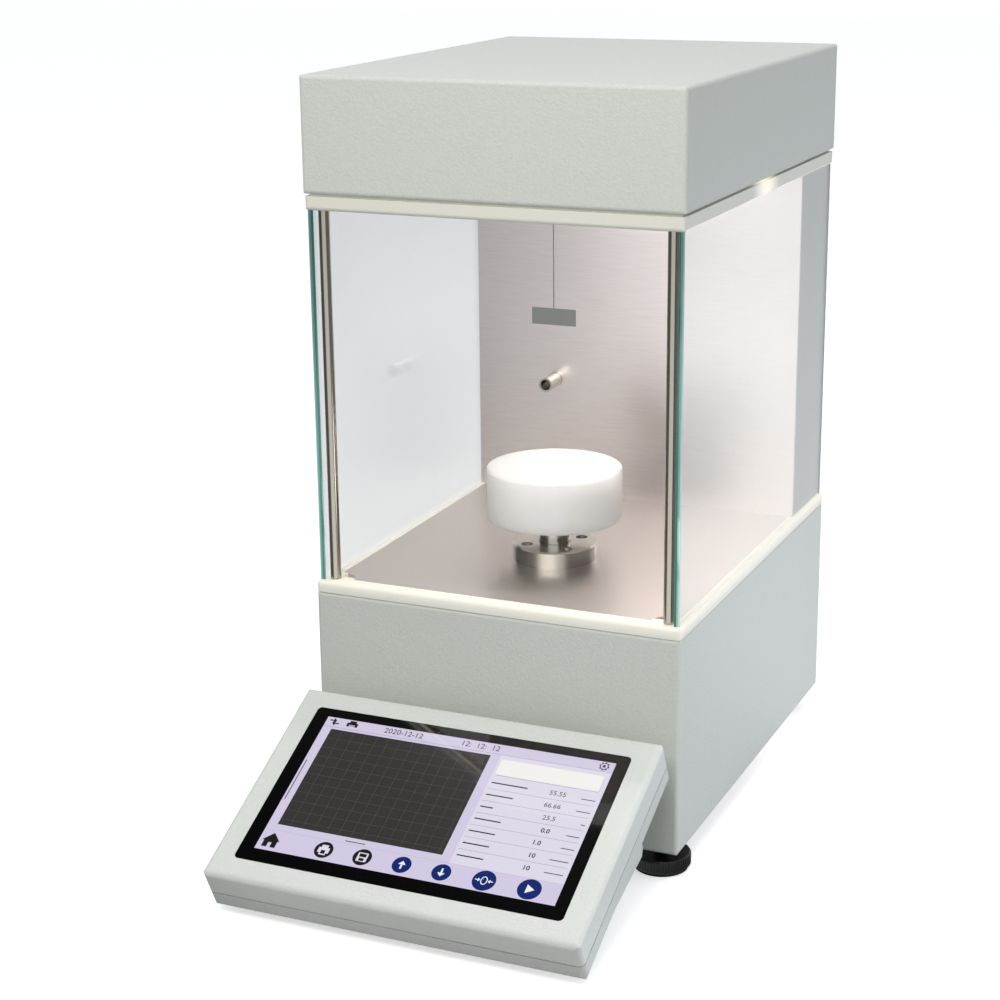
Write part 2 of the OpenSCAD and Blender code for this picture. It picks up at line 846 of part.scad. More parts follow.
module sample_table() {
    color("#f7f7f4") on_stage() translate([0, 0, table_z]) rotate_extrude($fn = 128) difference() {
        union() {
            square([table_d / 2 - table_r, table_h]);
            translate([0, table_r]) square([table_d / 2, table_h - 2 * table_r]);
            for (z = [table_r, table_h - table_r])
                translate([table_d / 2 - table_r, z]) circle(table_r, $fn = 32);
        }
        square([shaft_d / 2, shaft_seat]);
        translate([-2 * table_d, -cut]) square([2 * table_d, table_h + 2 * cut]);
    }
}

module lift_carriage() {
    color("#9aa0a3") on_stage() translate([0, 0, carriage_z]) difference() {
        linear_extrude(carriage_t) round_rect(carriage_w, carriage_d, lift_plate_r);
        hole(nut_d, carriage_t);
        for (side = [-1, 1])
            translate([side * rod_x, 0, 0]) hole(rod_d + 2 * run_gap, carriage_t);
    }
}

module lift_nut() {
    color(brass) on_stage() translate([0, 0, carriage_z]) difference() {
        union() {
            cylinder(d = nut_d - seat_gap, h = carriage_t, $fn = 64);
            translate([0, 0, -nut_flange_t]) cylinder(d = nut_flange_d, h = nut_flange_t, $fn = 64);
        }
        translate([0, 0, -nut_flange_t - cut])
            cylinder(d = screw_d + 2 * run_gap, h = carriage_t + nut_flange_t + 2 * cut, $fn = 64);
    }
}

module lead_screw() {
    bottom = lift_plate_z - screw_in_motor;
    color(steel) on_stage() translate([0, 0, bottom])
        cylinder(d = screw_d, h = screw_top_z - bottom, $fn = 64);
}

module guide_rods() {
    color(steel) on_stage()
        for (side = [-1, 1])
            translate([side * rod_x, 0, lift_plate_z + rod_seat])
                cylinder(d = rod_d, h = deck_under_z - lift_plate_z - rod_seat, $fn = 64);
}

module lift_plate() {
    color("#9aa0a3") on_stage() translate([0, 0, lift_plate_z]) difference() {
        linear_extrude(lift_plate_t) round_rect(lift_plate_w, lift_plate_d, lift_plate_r);
        hole(lift_plate_hole_d, lift_plate_t);
        for (side = [-1, 1])
            translate([side * rod_x, 0, rod_seat]) cylinder(d = rod_d + seat_gap, h = lift_plate_t, $fn = 64);
    }
}

module lift_spacers() {
    color(steel) on_stage()
        for (x = [-1, 1], y = [-1, 1])
            translate([x * spacer_x, y * spacer_y, lift_plate_z + lift_plate_t])
                cylinder(d = spacer_d, h = deck_under_z - lift_plate_z - lift_plate_t, $fn = 6);
}

module lift_motor() {
    half = motor_w / 2;
    near = half - motor_chamfer;
    color(black) on_stage() translate([0, 0, motor_z]) difference() {
        linear_extrude(motor_h) polygon([
            [half, near], [near, half], [-near, half], [-half, near],
            [-half, -near], [-near, -half], [near, -half], [half, -near]]);
        translate([0, 0, motor_h - screw_in_motor - cut])
            cylinder(d = screw_d + 2 * run_gap, h = motor_h, $fn = 64);
    }
}

// ----------------------------------------------------------------- balance

// The bar lies along y: its free end is over the table's axis and its fixed
// end is nearer the column. Two bores joined by a slot make the flexures.
module load_cell() {
    color("#aeb4b6") on_stage() translate([0, -cell_free, cell_z]) difference() {
        block([cell_w, cell_l, cell_h]);
        for (y = [-1, 1])
            translate([0, cell_l / 2 + y * flex_step / 2, cell_h / 2])
                rotate([0, 90, 0]) cylinder(d = flex_d, h = cell_w + 2 * cut, center = true, $fn = 64);
        translate([0, (cell_l - flex_step) / 2, (cell_h - flex_slot_h) / 2])
            block([cell_w + 2 * cut, flex_step, flex_slot_h]);
        translate([0, cell_free + hook_r, -cut])
            cylinder(d = hook_wire_d, h = hook_top_z - cell_z + cut, $fn = 32);
    }
}

module cell_block() {
    color(steel) on_stage()
        translate([0, cell_l - cell_free - cell_foot_l, head_z + head_plate_t])
            block([cell_foot_w, cell_foot_l, cell_z - head_z - head_plate_t]);
}

module cell_board() {
    color(board_green) on_stage() translate([cell_board_x, 0, head_z + head_plate_t])
        board(cell_board_size, cell_board_rise, cell_blocks);
}

// Rod that hangs from the bar's free end, bent into an open hook
module balance_hook() {
    rod_r = hook_wire_d / 2;
    bend_z = hook_z + hook_r;
    color(steel) on_stage() {
        translate([0, hook_r, bend_z]) cylinder(r = rod_r, h = hook_top_z - bend_z, $fn = 32);
        translate([0, 0, bend_z]) rotate([90, 0, 90]) rotate([0, 0, 180])
            rotate_extrude(angle = 180, $fn = 96) translate([hook_r, 0]) circle(rod_r, $fn = 32);
        translate([0, -hook_r, bend_z]) cylinder(r = rod_r, h = hook_tip_h, $fn = 32);
    }
}

// Straight wire that ends in an open, bent eye
module plate_hanger() {
    r = wire_d / 2;
    path = concat([[0, 0]], eye);
    color(steel) on_stage() translate([0, 0, wire_top_z]) {
        translate([0, 0, -wire_l]) cylinder(r = r, h = wire_l, $fn = 32);
        for (i = [0 : 2])
            hull() {
                translate([path[i].x, 0, path[i].y]) sphere(r, $fn = 16);
                translate([path[i + 1].x, 0, path[i + 1].y]) sphere(r, $fn = 16);
            }
    }
}

module weighing_plate() {
    color("#8d8f90") on_stage()
        translate([0, -plate_t / 2, wire_bottom_z - plate_h]) block([plate_w, plate_t, plate_h]);
}

// ----------------------------------------------------------------- console

module console_outer() {
    soft_box([console_w, console_l, console_t], console_r);
}

module console_front() {
    inner_w = console_w - 2 * shell_t;
    inner_l = console_l - 2 * shell_t;
    color(bezel_paint) on_console() difference() {
        intersection() {
            console_outer();
            translate([0, -cut, console_back_t]) block([console_w + 2 * cut, console_l + 2 * cut, console_t]);
        }
        translate([0, shell_t, console_back_t - cut])
            block([inner_w, inner_l, console_t - console_back_t - shell_t + cut]);
        translate([0, console_l / 2, console_t - shell_t - cut])
            linear_extrude(shell_t + 2 * cut) round_rect(glass_w, glass_h, glass_r);
    }
}

module console_back() {
    w = console_w - 2 * seam_d;
    l = console_l - 2 * seam_d;
    color(paint) on_console() difference() {
        union() {
            intersection() {
                console_outer();
                translate([0, -cut, -cut])
                    block([console_w + 2 * cut, console_l + 2 * cut, console_back_t - seam_w + cut]);
            }
            translate([0, seam_d, console_back_t - seam_w - cut]) block([w, l, seam_w + cut]);
        }
        translate([0, shell_t, shell_t]) block([console_w - 2 * shell_t, console_l - 2 * shell_t, console_t]);
        translate([0, console_way_y, 0]) hole(console_way_d, shell_t);
    }
}

module touch_glass() {
    w = glass_w - 2 * seat_gap;
    h = glass_h - 2 * seat_gap;
    color(black) on_console() translate([0, console_l / 2, console_t - glass_t])
        linear_extrude(glass_t) round_rect(w, h, glass_r - seat_gap);
}

module display_panel() {
    color("#dcd6ee") on_console()
        translate([lit_dx, console_l / 2 + lit_dy - lit_h / 2 - lit_rim, console_t - glass_t - display_t])
            block([lit_w + 2 * lit_rim, lit_h + 2 * lit_rim, display_t]);
}

module console_board() {
    color(board_green) on_console() translate([0, console_board_y, shell_t])
        board(console_board_size, console_board_rise, console_blocks);
}

// Wedge-shaped sheet bracket: a sloping floor between two gussets and an
// upright end plate, closed above by the console's back
module console_bracket() {
    outline = [[bracket_low_y, 0], [bracket_l, 0], [bracket_l, -bracket_heel],
        [bracket_l - bracket_toe, -bracket_h], [bracket_low_y, -bracket_low_h]];
    inner = [[bracket_low_y + bracket_t, cut], [bracket_l - bracket_t, cut],
        [bracket_l - bracket_t, -bracket_h + bracket_t + bracket_toe],
        [bracket_low_y + bracket_t, -bracket_low_h + bracket_t]];
    color(paint) on_console() difference() {
        rotate([90, 0, 90]) translate([0, 0, -bracket_x]) linear_extrude(2 * bracket_x) polygon(outline);
        rotate([90, 0, 90]) translate([0, 0, -bracket_x + bracket_t])
            linear_extrude(2 * (bracket_x - bracket_t)) polygon(inner);
    }
}

// Rectangular tube that carries the bracket from the base's front. Its front
// end is cut to the bracket's end plate, and its rear end is closed by a plate
// with a way for the cable.
module console_neck() {
    color(paint) in_body() difference() {
        translate([0, console_y, neck_z - neck_h / 2]) block([neck_w, -console_y, neck_h]);
        translate([0, console_y - cut, neck_z - neck_h / 2 + neck_wall])
            block([neck_w - 2 * neck_wall, -console_y + cut - neck_end_t, neck_h - 2 * neck_wall]);
        translate([0, -neck_end_t / 2, neck_z])
            through_back(4 * neck_end_t) round_rect(neck_way_w, neck_way_h, neck_way_r);
        at_bracket_screws() cylinder(d = bracket_screw_d, h = 4 * neck_end_t, center = true, $fn = 32);
        in_console_frame() {
            translate([0, -console_l, -bracket_h - cut])
                block([2 * console_w, console_l + bracket_l, 2 * console_l]);
            block([2 * console_w, 2 * console_l, console_t]);
        }
    }
}

module at_bracket_screws() {
    for (x = [-1, 1])
        translate([x * (neck_w / 2 - bracket_screw_in), 0, neck_z]) rotate([-90, 0, 0]) children();
}

module bracket_screws() {
    color(steel) in_body() at_bracket_screws()
        translate([0, 0, wall]) cap_screw(bracket_screw_d - seat_gap, wall + neck_end_t);
}

// ------------------------------------------------------------- electronics

module main_board() {
    color(board_green) in_body() translate([main_board_at.x, main_board_at.y, bottom_z + bottom_t])
        board(main_board_size, main_board_rise, main_blocks);
}

module power_supply() {
    color("#a8acad") in_body() translate([supply_at.x, supply_at.y, bottom_z + bottom_t]) difference() {
        block(supply_size);
        translate([0, supply_size.y / 2, supply_size.z - supply_vent_d]) linear_extrude(supply_vent_d + cut)
            row_of_vents(supply_vent_n, supply_vent_step, supply_vent_w, supply_vent_l);
    }
}

// Body and rim of an inset, its outer face on the base's back, y = 0
module inset_body(w, h, depth, rim, rim_t) {
    translate([0, -depth, -h / 2 + seat_gap]) block([w - 2 * seat_gap, depth, h - 2 * seat_gap]);
    translate([0, 0, -h / 2 - rim]) block([w + 2 * rim, rim_t, h + 2 * rim]);
}

module power_inlet() {
    color(black) in_body() translate([inlet_x, body_d, inlet_z]) difference() {
        inset_body(inlet_w, inlet_h, inlet_in, inlet_rim, inlet_rim_t);
        translate([0, -inlet_recess_d, -inlet_h / 2 + inlet_rim])
            block([inlet_w - 2 * inlet_rim, inlet_in, inlet_h - 2 * inlet_rim]);
    }
}

module switch_frame() {
    color(black) in_body() translate([rocker_x, body_d, inlet_z]) difference() {
        inset_body(rocker_w, rocker_h, rocker_in, rocker_rim, inlet_rim_t);
        translate([0, -rocker_in + 2 * rocker_wall, -rocker_h / 2 + rocker_wall])
            block([rocker_w - 2 * rocker_wall, 2 * rocker_in, rocker_h - 2 * rocker_wall]);
        translate([0, -rocker_pivot_in, 0])
            rocker_pin(rocker_pin_d + 2 * run_gap, rocker_pin_l + 2 * seat_gap);
    }
}

module rocker_pin(d, l) {
    rotate([0, 90, 0]) cylinder(d = d, h = l, center = true, $fn = 48);
}

// Rocker on a pin, with two flat faces that meet at an angle in its middle
module switch_rocker() {
    w = rocker_w - 2 * rocker_wall - 2 * rocker_gap;
    half = rocker_h / 2 - rocker_wall - 2 * rocker_gap;
    outline = [
        [-rocker_keel, -rocker_keel_w / 2], [-rocker_keel, rocker_keel_w / 2], [rocker_edge_in, half],
        [rocker_face, half], [rocker_dip, 0], [rocker_face, -half], [rocker_edge_in, -half]];
    color(black) in_body() translate([rocker_x, body_d - rocker_pivot_in, inlet_z]) {
        rocker_pin(rocker_pin_d, rocker_pin_l);
        rotate([rocker_tilt, 0, 0]) rotate([90, 0, 90])
            translate([0, 0, -w / 2]) linear_extrude(w) polygon(outline);
    }
}

module data_port() {
    color(steel) in_body() translate([port_x, body_d, inlet_z]) difference() {
        union() {
            translate([0, -port_in, -port_h / 2 + seat_gap])
                block([port_w - 2 * seat_gap, port_in + port_out, port_h - 2 * seat_gap]);
            translate([0, 0, -port_plate.z / 2]) block(port_plate);
            for (x = [-1, 1])
                translate([x * port_screw_x, 0, 0])
                    rotate([-90, 0, 0]) cylinder(d = port_screw_d, h = port_out, $fn = 6);
        }
        translate([0, port_plate.y, -port_h / 2 + port_wall])
            block([port_w - 2 * port_wall, port_out, port_h - 2 * port_wall]);
    }
}

// -------------------------------------------------------------------- feet

module at_feet() {
    for (at = [foot_fl, foot_fr, foot_bl, foot_br])
        translate(at) children();
}

module foot_pad(at) {
    color("#2a2a2b") in_body() translate(at) cylinder(d = pad_d, h = pad_t, $fn = 96);
}

// Disc with grip flutes and the stud that screws into the base
module foot_knob(at) {
    r = foot_d / 2;
    color(black) in_body() translate(at) {
        translate([0, 0, disc_z]) intersection() {
            linear_extrude(disc_h) polygon([
                for (i = [0 : flutes - 1], k = [0, 1, 2, 3])
                    let (a = 360 * (i + k / 4) / flutes, s = r - (k < 2 ? 0 : flute_d))
                        [s * cos(a), s * sin(a)]]);
            rotate_extrude($fn = 96) polygon([
                [0, 0], [r - disc_chamfer, 0], [r, disc_chamfer], [r, disc_h - disc_chamfer],
                [r - disc_chamfer, disc_h], [0, disc_h]]);
        }
        translate([0, 0, foot_h - cut])
            cylinder(d = stud_d, h = cut + bottom_z + bottom_t + stud_in - foot_h, $fn = 64);
    }
}

module foot_pad_fl() foot_pad(foot_fl);
module foot_pad_fr() foot_pad(foot_fr);
module foot_pad_bl() foot_pad(foot_bl);
module foot_pad_br() foot_pad(foot_br);
module foot_knob_fl() foot_knob(foot_fl);
module foot_knob_fr() foot_knob(foot_fr);
module foot_knob_bl() foot_knob(foot_bl);
module foot_knob_br() foot_knob(foot_br);

base_shell();
bottom_plate();
base_trim();
chamber_floor();
back_plate();
column();
rear_cover();
head_shell();
head_plate();
head_trim();
ceiling_plate();
lamp_diffuser();
lamp_board();
front_posts();
glass_left();
glass_right();
probe_sleeve();
probe_nut();
lift_flange();
flange_screws();
lift_bush();
lift_shaft();
sample_table();
lift_carriage();
lift_nut();
lead_screw();
guide_rods();
lift_plate();
lift_spacers();
lift_motor();
load_cell();
cell_block();
cell_board();
balance_hook();
plate_hanger();
weighing_plate();
console_front();
console_back();
touch_glass();
display_panel();
console_board();
console_bracket();
console_neck();
bracket_screws();
main_board();
power_supply();
power_inlet();
switch_frame();
switch_rocker();
data_port();
foot_nuts();
rear_screws();
foot_pad_fl();
foot_pad_fr();
foot_pad_bl();
foot_pad_br();
foot_knob_fl();
foot_knob_fr();
foot_knob_bl();
foot_knob_br();
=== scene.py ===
# %% [markdown]
# # A surface tensiometer
# The real object is a bench instrument: a painted box with a glazed chamber, a lit trim above and below
# the glass, a table that rises under a hanging plate, and a sloping touch console in front. Its solids
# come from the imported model, which stays fixed. This script adds what solids leave out: finishes, the
# picture on the screen, glass edges, screw threads and the pins of the sockets.

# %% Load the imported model
import json
import math

import bpy
import numpy as np
from mathutils import Matrix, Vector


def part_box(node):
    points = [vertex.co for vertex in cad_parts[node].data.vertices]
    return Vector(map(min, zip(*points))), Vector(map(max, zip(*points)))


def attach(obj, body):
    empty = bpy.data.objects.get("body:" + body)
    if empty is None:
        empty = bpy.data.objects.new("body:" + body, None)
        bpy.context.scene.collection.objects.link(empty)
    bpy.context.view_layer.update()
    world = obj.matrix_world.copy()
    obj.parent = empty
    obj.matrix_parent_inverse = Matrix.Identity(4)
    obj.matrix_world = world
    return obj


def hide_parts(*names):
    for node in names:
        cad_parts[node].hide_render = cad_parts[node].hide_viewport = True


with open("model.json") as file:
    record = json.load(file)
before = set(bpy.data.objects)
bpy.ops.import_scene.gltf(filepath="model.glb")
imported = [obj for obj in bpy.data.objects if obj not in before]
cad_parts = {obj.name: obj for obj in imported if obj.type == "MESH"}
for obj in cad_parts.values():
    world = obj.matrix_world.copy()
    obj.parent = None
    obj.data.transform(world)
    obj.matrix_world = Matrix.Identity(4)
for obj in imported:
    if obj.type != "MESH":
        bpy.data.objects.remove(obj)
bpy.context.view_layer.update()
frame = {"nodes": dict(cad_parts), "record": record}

nodes = frame["nodes"]

# %% [markdown]
# ## Surfaces from arrays
# Every new piece here is a surface over two parameters, worked out as one numpy array of points. One
# function turns such a grid into faces, so each piece only has to say where its points lie. A stack of
# modifiers could make the same forms, but a formula keeps the size of each piece next to its reason.

# %% A mesh from arrays
MM = 0.001


def make_piece(name, points, faces, smooth=True):
    """Puts points (n, 3) and faces into a mesh whose object sits at the origin."""
    mesh = bpy.data.meshes.new(name)
    mesh.from_pydata(np.asarray(points, float).tolist(), [], [list(map(int, f)) for f in faces])
    mesh.validate()
    mesh.polygons.foreach_set("use_smooth", np.full(len(mesh.polygons), smooth))
    piece = bpy.data.objects.new(name, mesh)
    bpy.context.scene.collection.objects.link(piece)
    return piece


def grid_faces(rows, columns, start=0):
    """Quads between neighbouring points of a grid whose last column meets the first again."""
    index = np.arange(rows * columns).reshape(rows, columns) + start
    index = np.hstack([index, index[:, :1]])
    a, b, c, d = index[:-1, :-1], index[:-1, 1:], index[1:, 1:], index[1:, :-1]
    return np.stack([a, b, c, d], -1).reshape(-1, 4)


def turned(profile, columns, centre, radius_of):
    """Surface of revolution about an upright axis. A profile row is (radius, height), and
    radius_of(radius, height, angle) gives the radius at each point. A flat face closes either end."""
    r, z = np.asarray(profile, float).T
    angle = np.linspace(0, 2 * np.pi, columns, endpoint=False)
    radius = radius_of(np.repeat(r[:, None], columns, 1), z[:, None], angle[None, :])
    x, y = radius * np.cos(angle), radius * np.sin(angle)
    points = np.stack([x + centre[0], y + centre[1], np.repeat(z[:, None], columns, 1) + centre[2]], -1)
    faces = [list(f) for f in grid_faces(len(r), columns)]
    faces.append(list(range(columns))[::-1])
    faces.append(list(range((len(r) - 1) * columns, len(r) * columns)))
    return points.reshape(-1, 3), faces


# %% [markdown]
# ## Shared effects
# Powder coat and brushed grain each show on several pieces, so each is a shader node group with named
# inputs, built once. A group gives only a tone, a roughness and a height, which the material's own shader
# reads. Both use Object coordinates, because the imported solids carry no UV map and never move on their
# own origin.

# %% Node helpers
def new_group(name, inputs, outputs):
    """A shader node group with float inputs {name: default} and outputs {name: socket type}."""
    group = bpy.data.node_groups.new(name, "ShaderNodeTree")
    for label, default in inputs.items():
        socket = group.interface.new_socket(name=label, in_out="INPUT", socket_type="NodeSocketFloat")
        socket.default_value = default
    for label, kind in outputs.items():
        group.interface.new_socket(name=label, in_out="OUTPUT", socket_type=kind)
    return group, group.nodes.new("NodeGroupInput"), group.nodes.new("NodeGroupOutput")


def add(tree, kind, links=(), **settings):
    """Adds a node, sets its properties or input values by name, and links {input: output socket}."""
    node = tree.nodes.new(kind)
    for label, value in settings.items():
        if hasattr(node, label):
            setattr(node, label, value)
        else:
            node.inputs[label].default_value = value
    for label, source in dict(links).items():
        tree.links.new(source, node.inputs[label])
    return node


def math_node(tree, operation, first, second):
    """One Math node; an operand is a number or a socket."""
    node = tree.nodes.new("ShaderNodeMath")
    node.operation = operation
    for i, value in enumerate((first, second)):
        if isinstance(value, (int, float)):
            node.inputs[i].default_value = value
        else:
            tree.links.new(value, node.inputs[i])
    return node.outputs[0]


def centred(tree, noise, amount):
    """A noise between 0 and 1 as a swing of that amount about 0."""
    return math_node(tree, "MULTIPLY", math_node(tree, "SUBTRACT", noise, 0.5), amount)


# %% Powder coat: close-set round bumps with painted highlights on their tops and painted shade in their hollows, and a faint cloud in the tone
powder, powder_in, powder_out = new_group(
    "powder_coat", {"Grain per metre": 900.0, "Roughness": 0.5, "Cloud": 0.02, "Peak highlight": 0.12},
    {"Height": "NodeSocketFloat", "Roughness": "NodeSocketFloat", "Tone": "NodeSocketFloat"})
where = add(powder, "ShaderNodeTexCoord").outputs["Object"]
grains = powder_in.outputs["Grain per metre"]
bumps = add(powder, "ShaderNodeTexNoise", {"Vector": where, "Scale": grains}, Detail=2.0)
clouds = add(powder, "ShaderNodeTexNoise", {"Vector": where}, Scale=26.0, Detail=3.0)
swing = centred(powder, clouds.outputs["Fac"], powder_in.outputs["Cloud"])
# Painted highlight and shade: the tone follows the bump height, paler on the peaks and darker in the hollows.
painted_bump_highlight = centred(powder, bumps.outputs["Fac"], powder_in.outputs["Peak highlight"])
tone = math_node(powder, "ADD", math_node(powder, "ADD", swing, painted_bump_highlight), 1.0)
uneven = math_node(powder, "ADD", powder_in.outputs["Roughness"], swing)
powder.links.new(bumps.outputs["Fac"], powder_out.inputs["Height"])
powder.links.new(tone, powder_out.inputs["Tone"])
powder.links.new(uneven, powder_out.inputs["Roughness"])

# %% Brushed grain: noise stretched along one axis, as an abrasive belt leaves it
grain, grain_in, grain_out = new_group(
    "brushed_grain",
    {"Across X": 1.0, "Across Y": 1.0, "Across Z": 1.0, "Lines per metre": 2500.0, "Roughness": 0.3,
     "Depth": 0.1},
    {"Height": "NodeSocketFloat", "Roughness": "NodeSocketFloat", "Tone": "NodeSocketFloat"})
where = add(grain, "ShaderNodeTexCoord").outputs["Object"]
across = add(grain, "ShaderNodeCombineXYZ", {axis: grain_in.outputs["Across " + axis] for axis in "XYZ"})
stretched = add(grain, "ShaderNodeVectorMath", {0: where, 1: across.outputs[0]}, operation="MULTIPLY")
line_count = grain_in.outputs["Lines per metre"]
lines = add(grain, "ShaderNodeTexNoise", {"Vector": stretched.outputs[0], "Scale": line_count}, Detail=3.0)
patches = add(grain, "ShaderNodeTexNoise", {"Vector": where}, Scale=14.0, Detail=2.0)
lean = centred(grain, lines.outputs["Fac"], grain_in.outputs["Depth"])
smear = centred(grain, patches.outputs["Fac"], 0.12)
uneven = math_node(grain, "ADD", math_node(grain, "ADD", grain_in.outputs["Roughness"], lean), smear)
grain.links.new(lines.outputs["Fac"], grain_out.inputs["Height"])
grain.links.new(uneven, grain_out.inputs["Roughness"])
grain.links.new(math_node(grain, "ADD", lean, 1.0), grain_out.inputs["Tone"])
print("groups", [g.name for g in bpy.data.node_groups])

# %% [markdown]
# ## Finishes
# Each finish of the record is one material. Constant values sit on the shader's own sockets, and only what
# changes over the surface comes through a group. Colours were set by comparing patches of the render with
# the same patches of the photograph.

# %% Material makers
POWDER_BUMP = 0.4 * MM
BELT_BUMP = 0.1 * MM


def from_srgb(*rgb):
    """0-255 sRGB values as the linear colour that a shader reads."""
    c = np.array(rgb, float) / 255
    linear = np.where(c <= 0.04045, c / 12.92, ((c + 0.055) / 1.055) ** 2.4)
    return (*linear.tolist(), 1.0)


def new_material(name, colour, roughness, metallic=0.0, **sockets):
    """A Principled material with its constants on the shader. Returns the material, its tree and its
    shader."""
    material = bpy.data.materials.new(name)
    material.use_nodes = True
    tree = material.node_tree
    shader = tree.nodes["Principled BSDF"]
    shader.inputs["Base Color"].default_value = colour
    shader.inputs["Roughness"].default_value = roughness
    shader.inputs["Metallic"].default_value = metallic
    for label, value in sockets.items():
        shader.inputs[label.replace("_", " ")].default_value = value
    return material, tree, shader


def toned(tree, shader, colour, tone, socket="Base Color"):
    """Multiplies a colour by a tone that changes over the surface, and links it to a socket of the
    shader."""
    mix = add(tree, "ShaderNodeVectorMath", {1: tone}, operation="MULTIPLY")
    mix.inputs[0].default_value = colour[:3]
    tree.links.new(mix.outputs[0], shader.inputs[socket])


def bumped(tree, shader, height, strength, distance):
    """Bends the shader's normal by a height."""
    bump = add(tree, "ShaderNodeBump", {"Height": height}, Strength=strength, Distance=distance)
    tree.links.new(bump.outputs["Normal"], shader.inputs["Normal"])


def powder_coated(name, colour, roughness=0.5, bump=0.5, peak_highlight=0.12):
    """Paint with the powder coat's fine bumps, their tops paler as a painted highlight."""
    material, tree, shader = new_material(name, colour, roughness)
    coat = add(tree, "ShaderNodeGroup", node_tree=powder)
    coat.inputs["Roughness"].default_value = roughness
    coat.inputs["Peak highlight"].default_value = peak_highlight
    toned(tree, shader, colour, coat.outputs["Tone"])
    tree.links.new(coat.outputs["Roughness"], shader.inputs["Roughness"])
    bumped(tree, shader, coat.outputs["Height"], bump, POWDER_BUMP)
    return material


def brushed(name, colour, roughness, across, depth=0.1, bump=0.05, lines=2500.0):
    """Bare metal. The grain runs along the axis that across gives a small number for."""
    material, tree, shader = new_material(name, colour, roughness, metallic=1.0)
    belt = add(tree, "ShaderNodeGroup", node_tree=grain)
    for label, value in zip(("Across X", "Across Y", "Across Z"), across):
        belt.inputs[label].default_value = value
    belt.inputs["Roughness"].default_value = roughness
    belt.inputs["Depth"].default_value = depth
    belt.inputs["Lines per metre"].default_value = lines
    toned(tree, shader, colour, belt.outputs["Tone"])
    tree.links.new(belt.outputs["Roughness"], shader.inputs["Roughness"])
    bumped(tree, shader, belt.outputs["Height"], bump, BELT_BUMP)
    return material


# %% The finishes
ALONG_X = (0.03, 1.0, 1.0)
ALONG_Z = (1.0, 1.0, 0.02)
ROUND_Z = (1.0, 1.0, 6.0)
EVEN = (1.0, 1.0, 1.0)
housing_paint = powder_coated("housing_paint", from_srgb(211, 215, 209))
console_paint = powder_coated("console_paint", from_srgb(222, 225, 221))
plate_steel = brushed("brushed_steel", from_srgb(245, 237, 235), 0.34, ALONG_X, depth=0.2, bump=0.1)
floor_steel = brushed("brushed_steel_floor", from_srgb(216, 210, 206), 0.38, ALONG_X, depth=0.12, bump=0.08)
turned_steel = brushed("turned_steel", from_srgb(205, 202, 196), 0.18, ROUND_Z, depth=0.06, bump=0.03)
drawn_steel = brushed("drawn_steel", from_srgb(170, 164, 152), 0.14, ALONG_Z, depth=0.08, bump=0.03)
blasted = brushed("blasted_platinum", from_srgb(150, 152, 151), 0.6, EVEN, depth=0.25, bump=0.3, lines=5000.0)
machined = brushed("aluminium", from_srgb(190, 193, 195), 0.35, (0.05, 1.0, 1.0))
bronze = brushed("bronze", from_srgb(176, 142, 82), 0.35, (1.0, 1.0, 4.0))
white_table = powder_coated("white_table", from_srgb(251, 250, 246), 0.38, bump=0.04, peak_highlight=0.02)
white_shader = white_table.node_tree.nodes["Principled BSDF"]
white_shader.inputs["Subsurface Weight"].default_value = 1.0
white_shader.inputs["Subsurface Radius"].default_value = (1.0, 0.95, 0.85)
white_shader.inputs["Subsurface Scale"].default_value = 0.02
circuit_board = new_material("circuit_board", from_srgb(30, 92, 58), 0.45)[0]
black_metal = powder_coated("black_metal", from_srgb(13, 13, 14), roughness=0.34, bump=0.08)
black_plastic = powder_coated("black_plastic", from_srgb(26, 26, 28), roughness=0.45, bump=0.12)
rubber = powder_coated("rubber", from_srgb(28, 28, 28), roughness=0.8, bump=0.2)
screen_glass = new_material(
    "screen_glass", from_srgb(9, 9, 11), 0.06, Coat_Weight=1.0, Coat_Roughness=0.03)[0]
contact_metal = new_material("contact_metal", from_srgb(196, 172, 110), 0.3, metallic=1.0)[0]
mark_white = new_material("mark_white", from_srgb(232, 232, 230), 0.5)[0]

# %% [markdown]
# ## Trims and the lamp's window
# The trims are a translucent ivory plastic, and their glow is painted light. The lamp over the chamber shines
# through the upper one where its end comes close, drawn as a small warm patch of painted light on the right
# rail. The lower one glows more towards its top, and both glow in the panes' grooves, where the glass would
# carry light.
# Real scattering through plastic would be slow and noisy. A surface that gives off a little light of its own
# looks the same. The lamp's window gives off the chamber's own light, which is stronger at its right end.

# %% Masks on Object coordinates: round a point, up a height and in the grooves of the panes
def object_place(tree):
    """The place on the object that a shader is asked about."""
    return add(tree, "ShaderNodeTexCoord").outputs["Object"]


def ramp_between(tree, value, start, end, first=0.0, last=1.0):
    """first up to start, last from end on, and an eased slope between."""
    ramp = add(tree, "ShaderNodeMapRange", {"Value": value}, interpolation_type="SMOOTHSTEP")
    for label, number in (("From Min", start), ("From Max", end), ("To Min", first), ("To Max", last)):
        ramp.inputs[label].default_value = number
    return ramp.outputs[0]


def near_point(tree, spot, reach):
    """1 at the spot, easing to 0 at that reach from it."""
    far = add(tree, "ShaderNodeVectorMath", {0: object_place(tree)}, operation="DISTANCE")
    far.inputs[1].default_value = spot
    return ramp_between(tree, far.outputs["Value"], 0.0, reach, 1.0, 0.0)


def in_groove(tree):
    """1 on the sides and the bottom of a pane's groove: |x|, y and z all within the pane's own box, give
    or take the groove's play."""
    place = add(tree, "ShaderNodeSeparateXYZ", {0: object_place(tree)}).outputs
    level = 1.0
    for i, value in enumerate((math_node(tree, "ABSOLUTE", place["X"], 0.0), place["Y"], place["Z"])):
        above = math_node(tree, "GREATER_THAN", value, pane_low[i] - GROOVE_PLAY)
        below = math_node(tree, "LESS_THAN", value, pane_high[i] + GROOVE_PLAY)
        level = math_node(tree, "MULTIPLY", above, level)
        level = math_node(tree, "MULTIPLY", below, level)
    return level


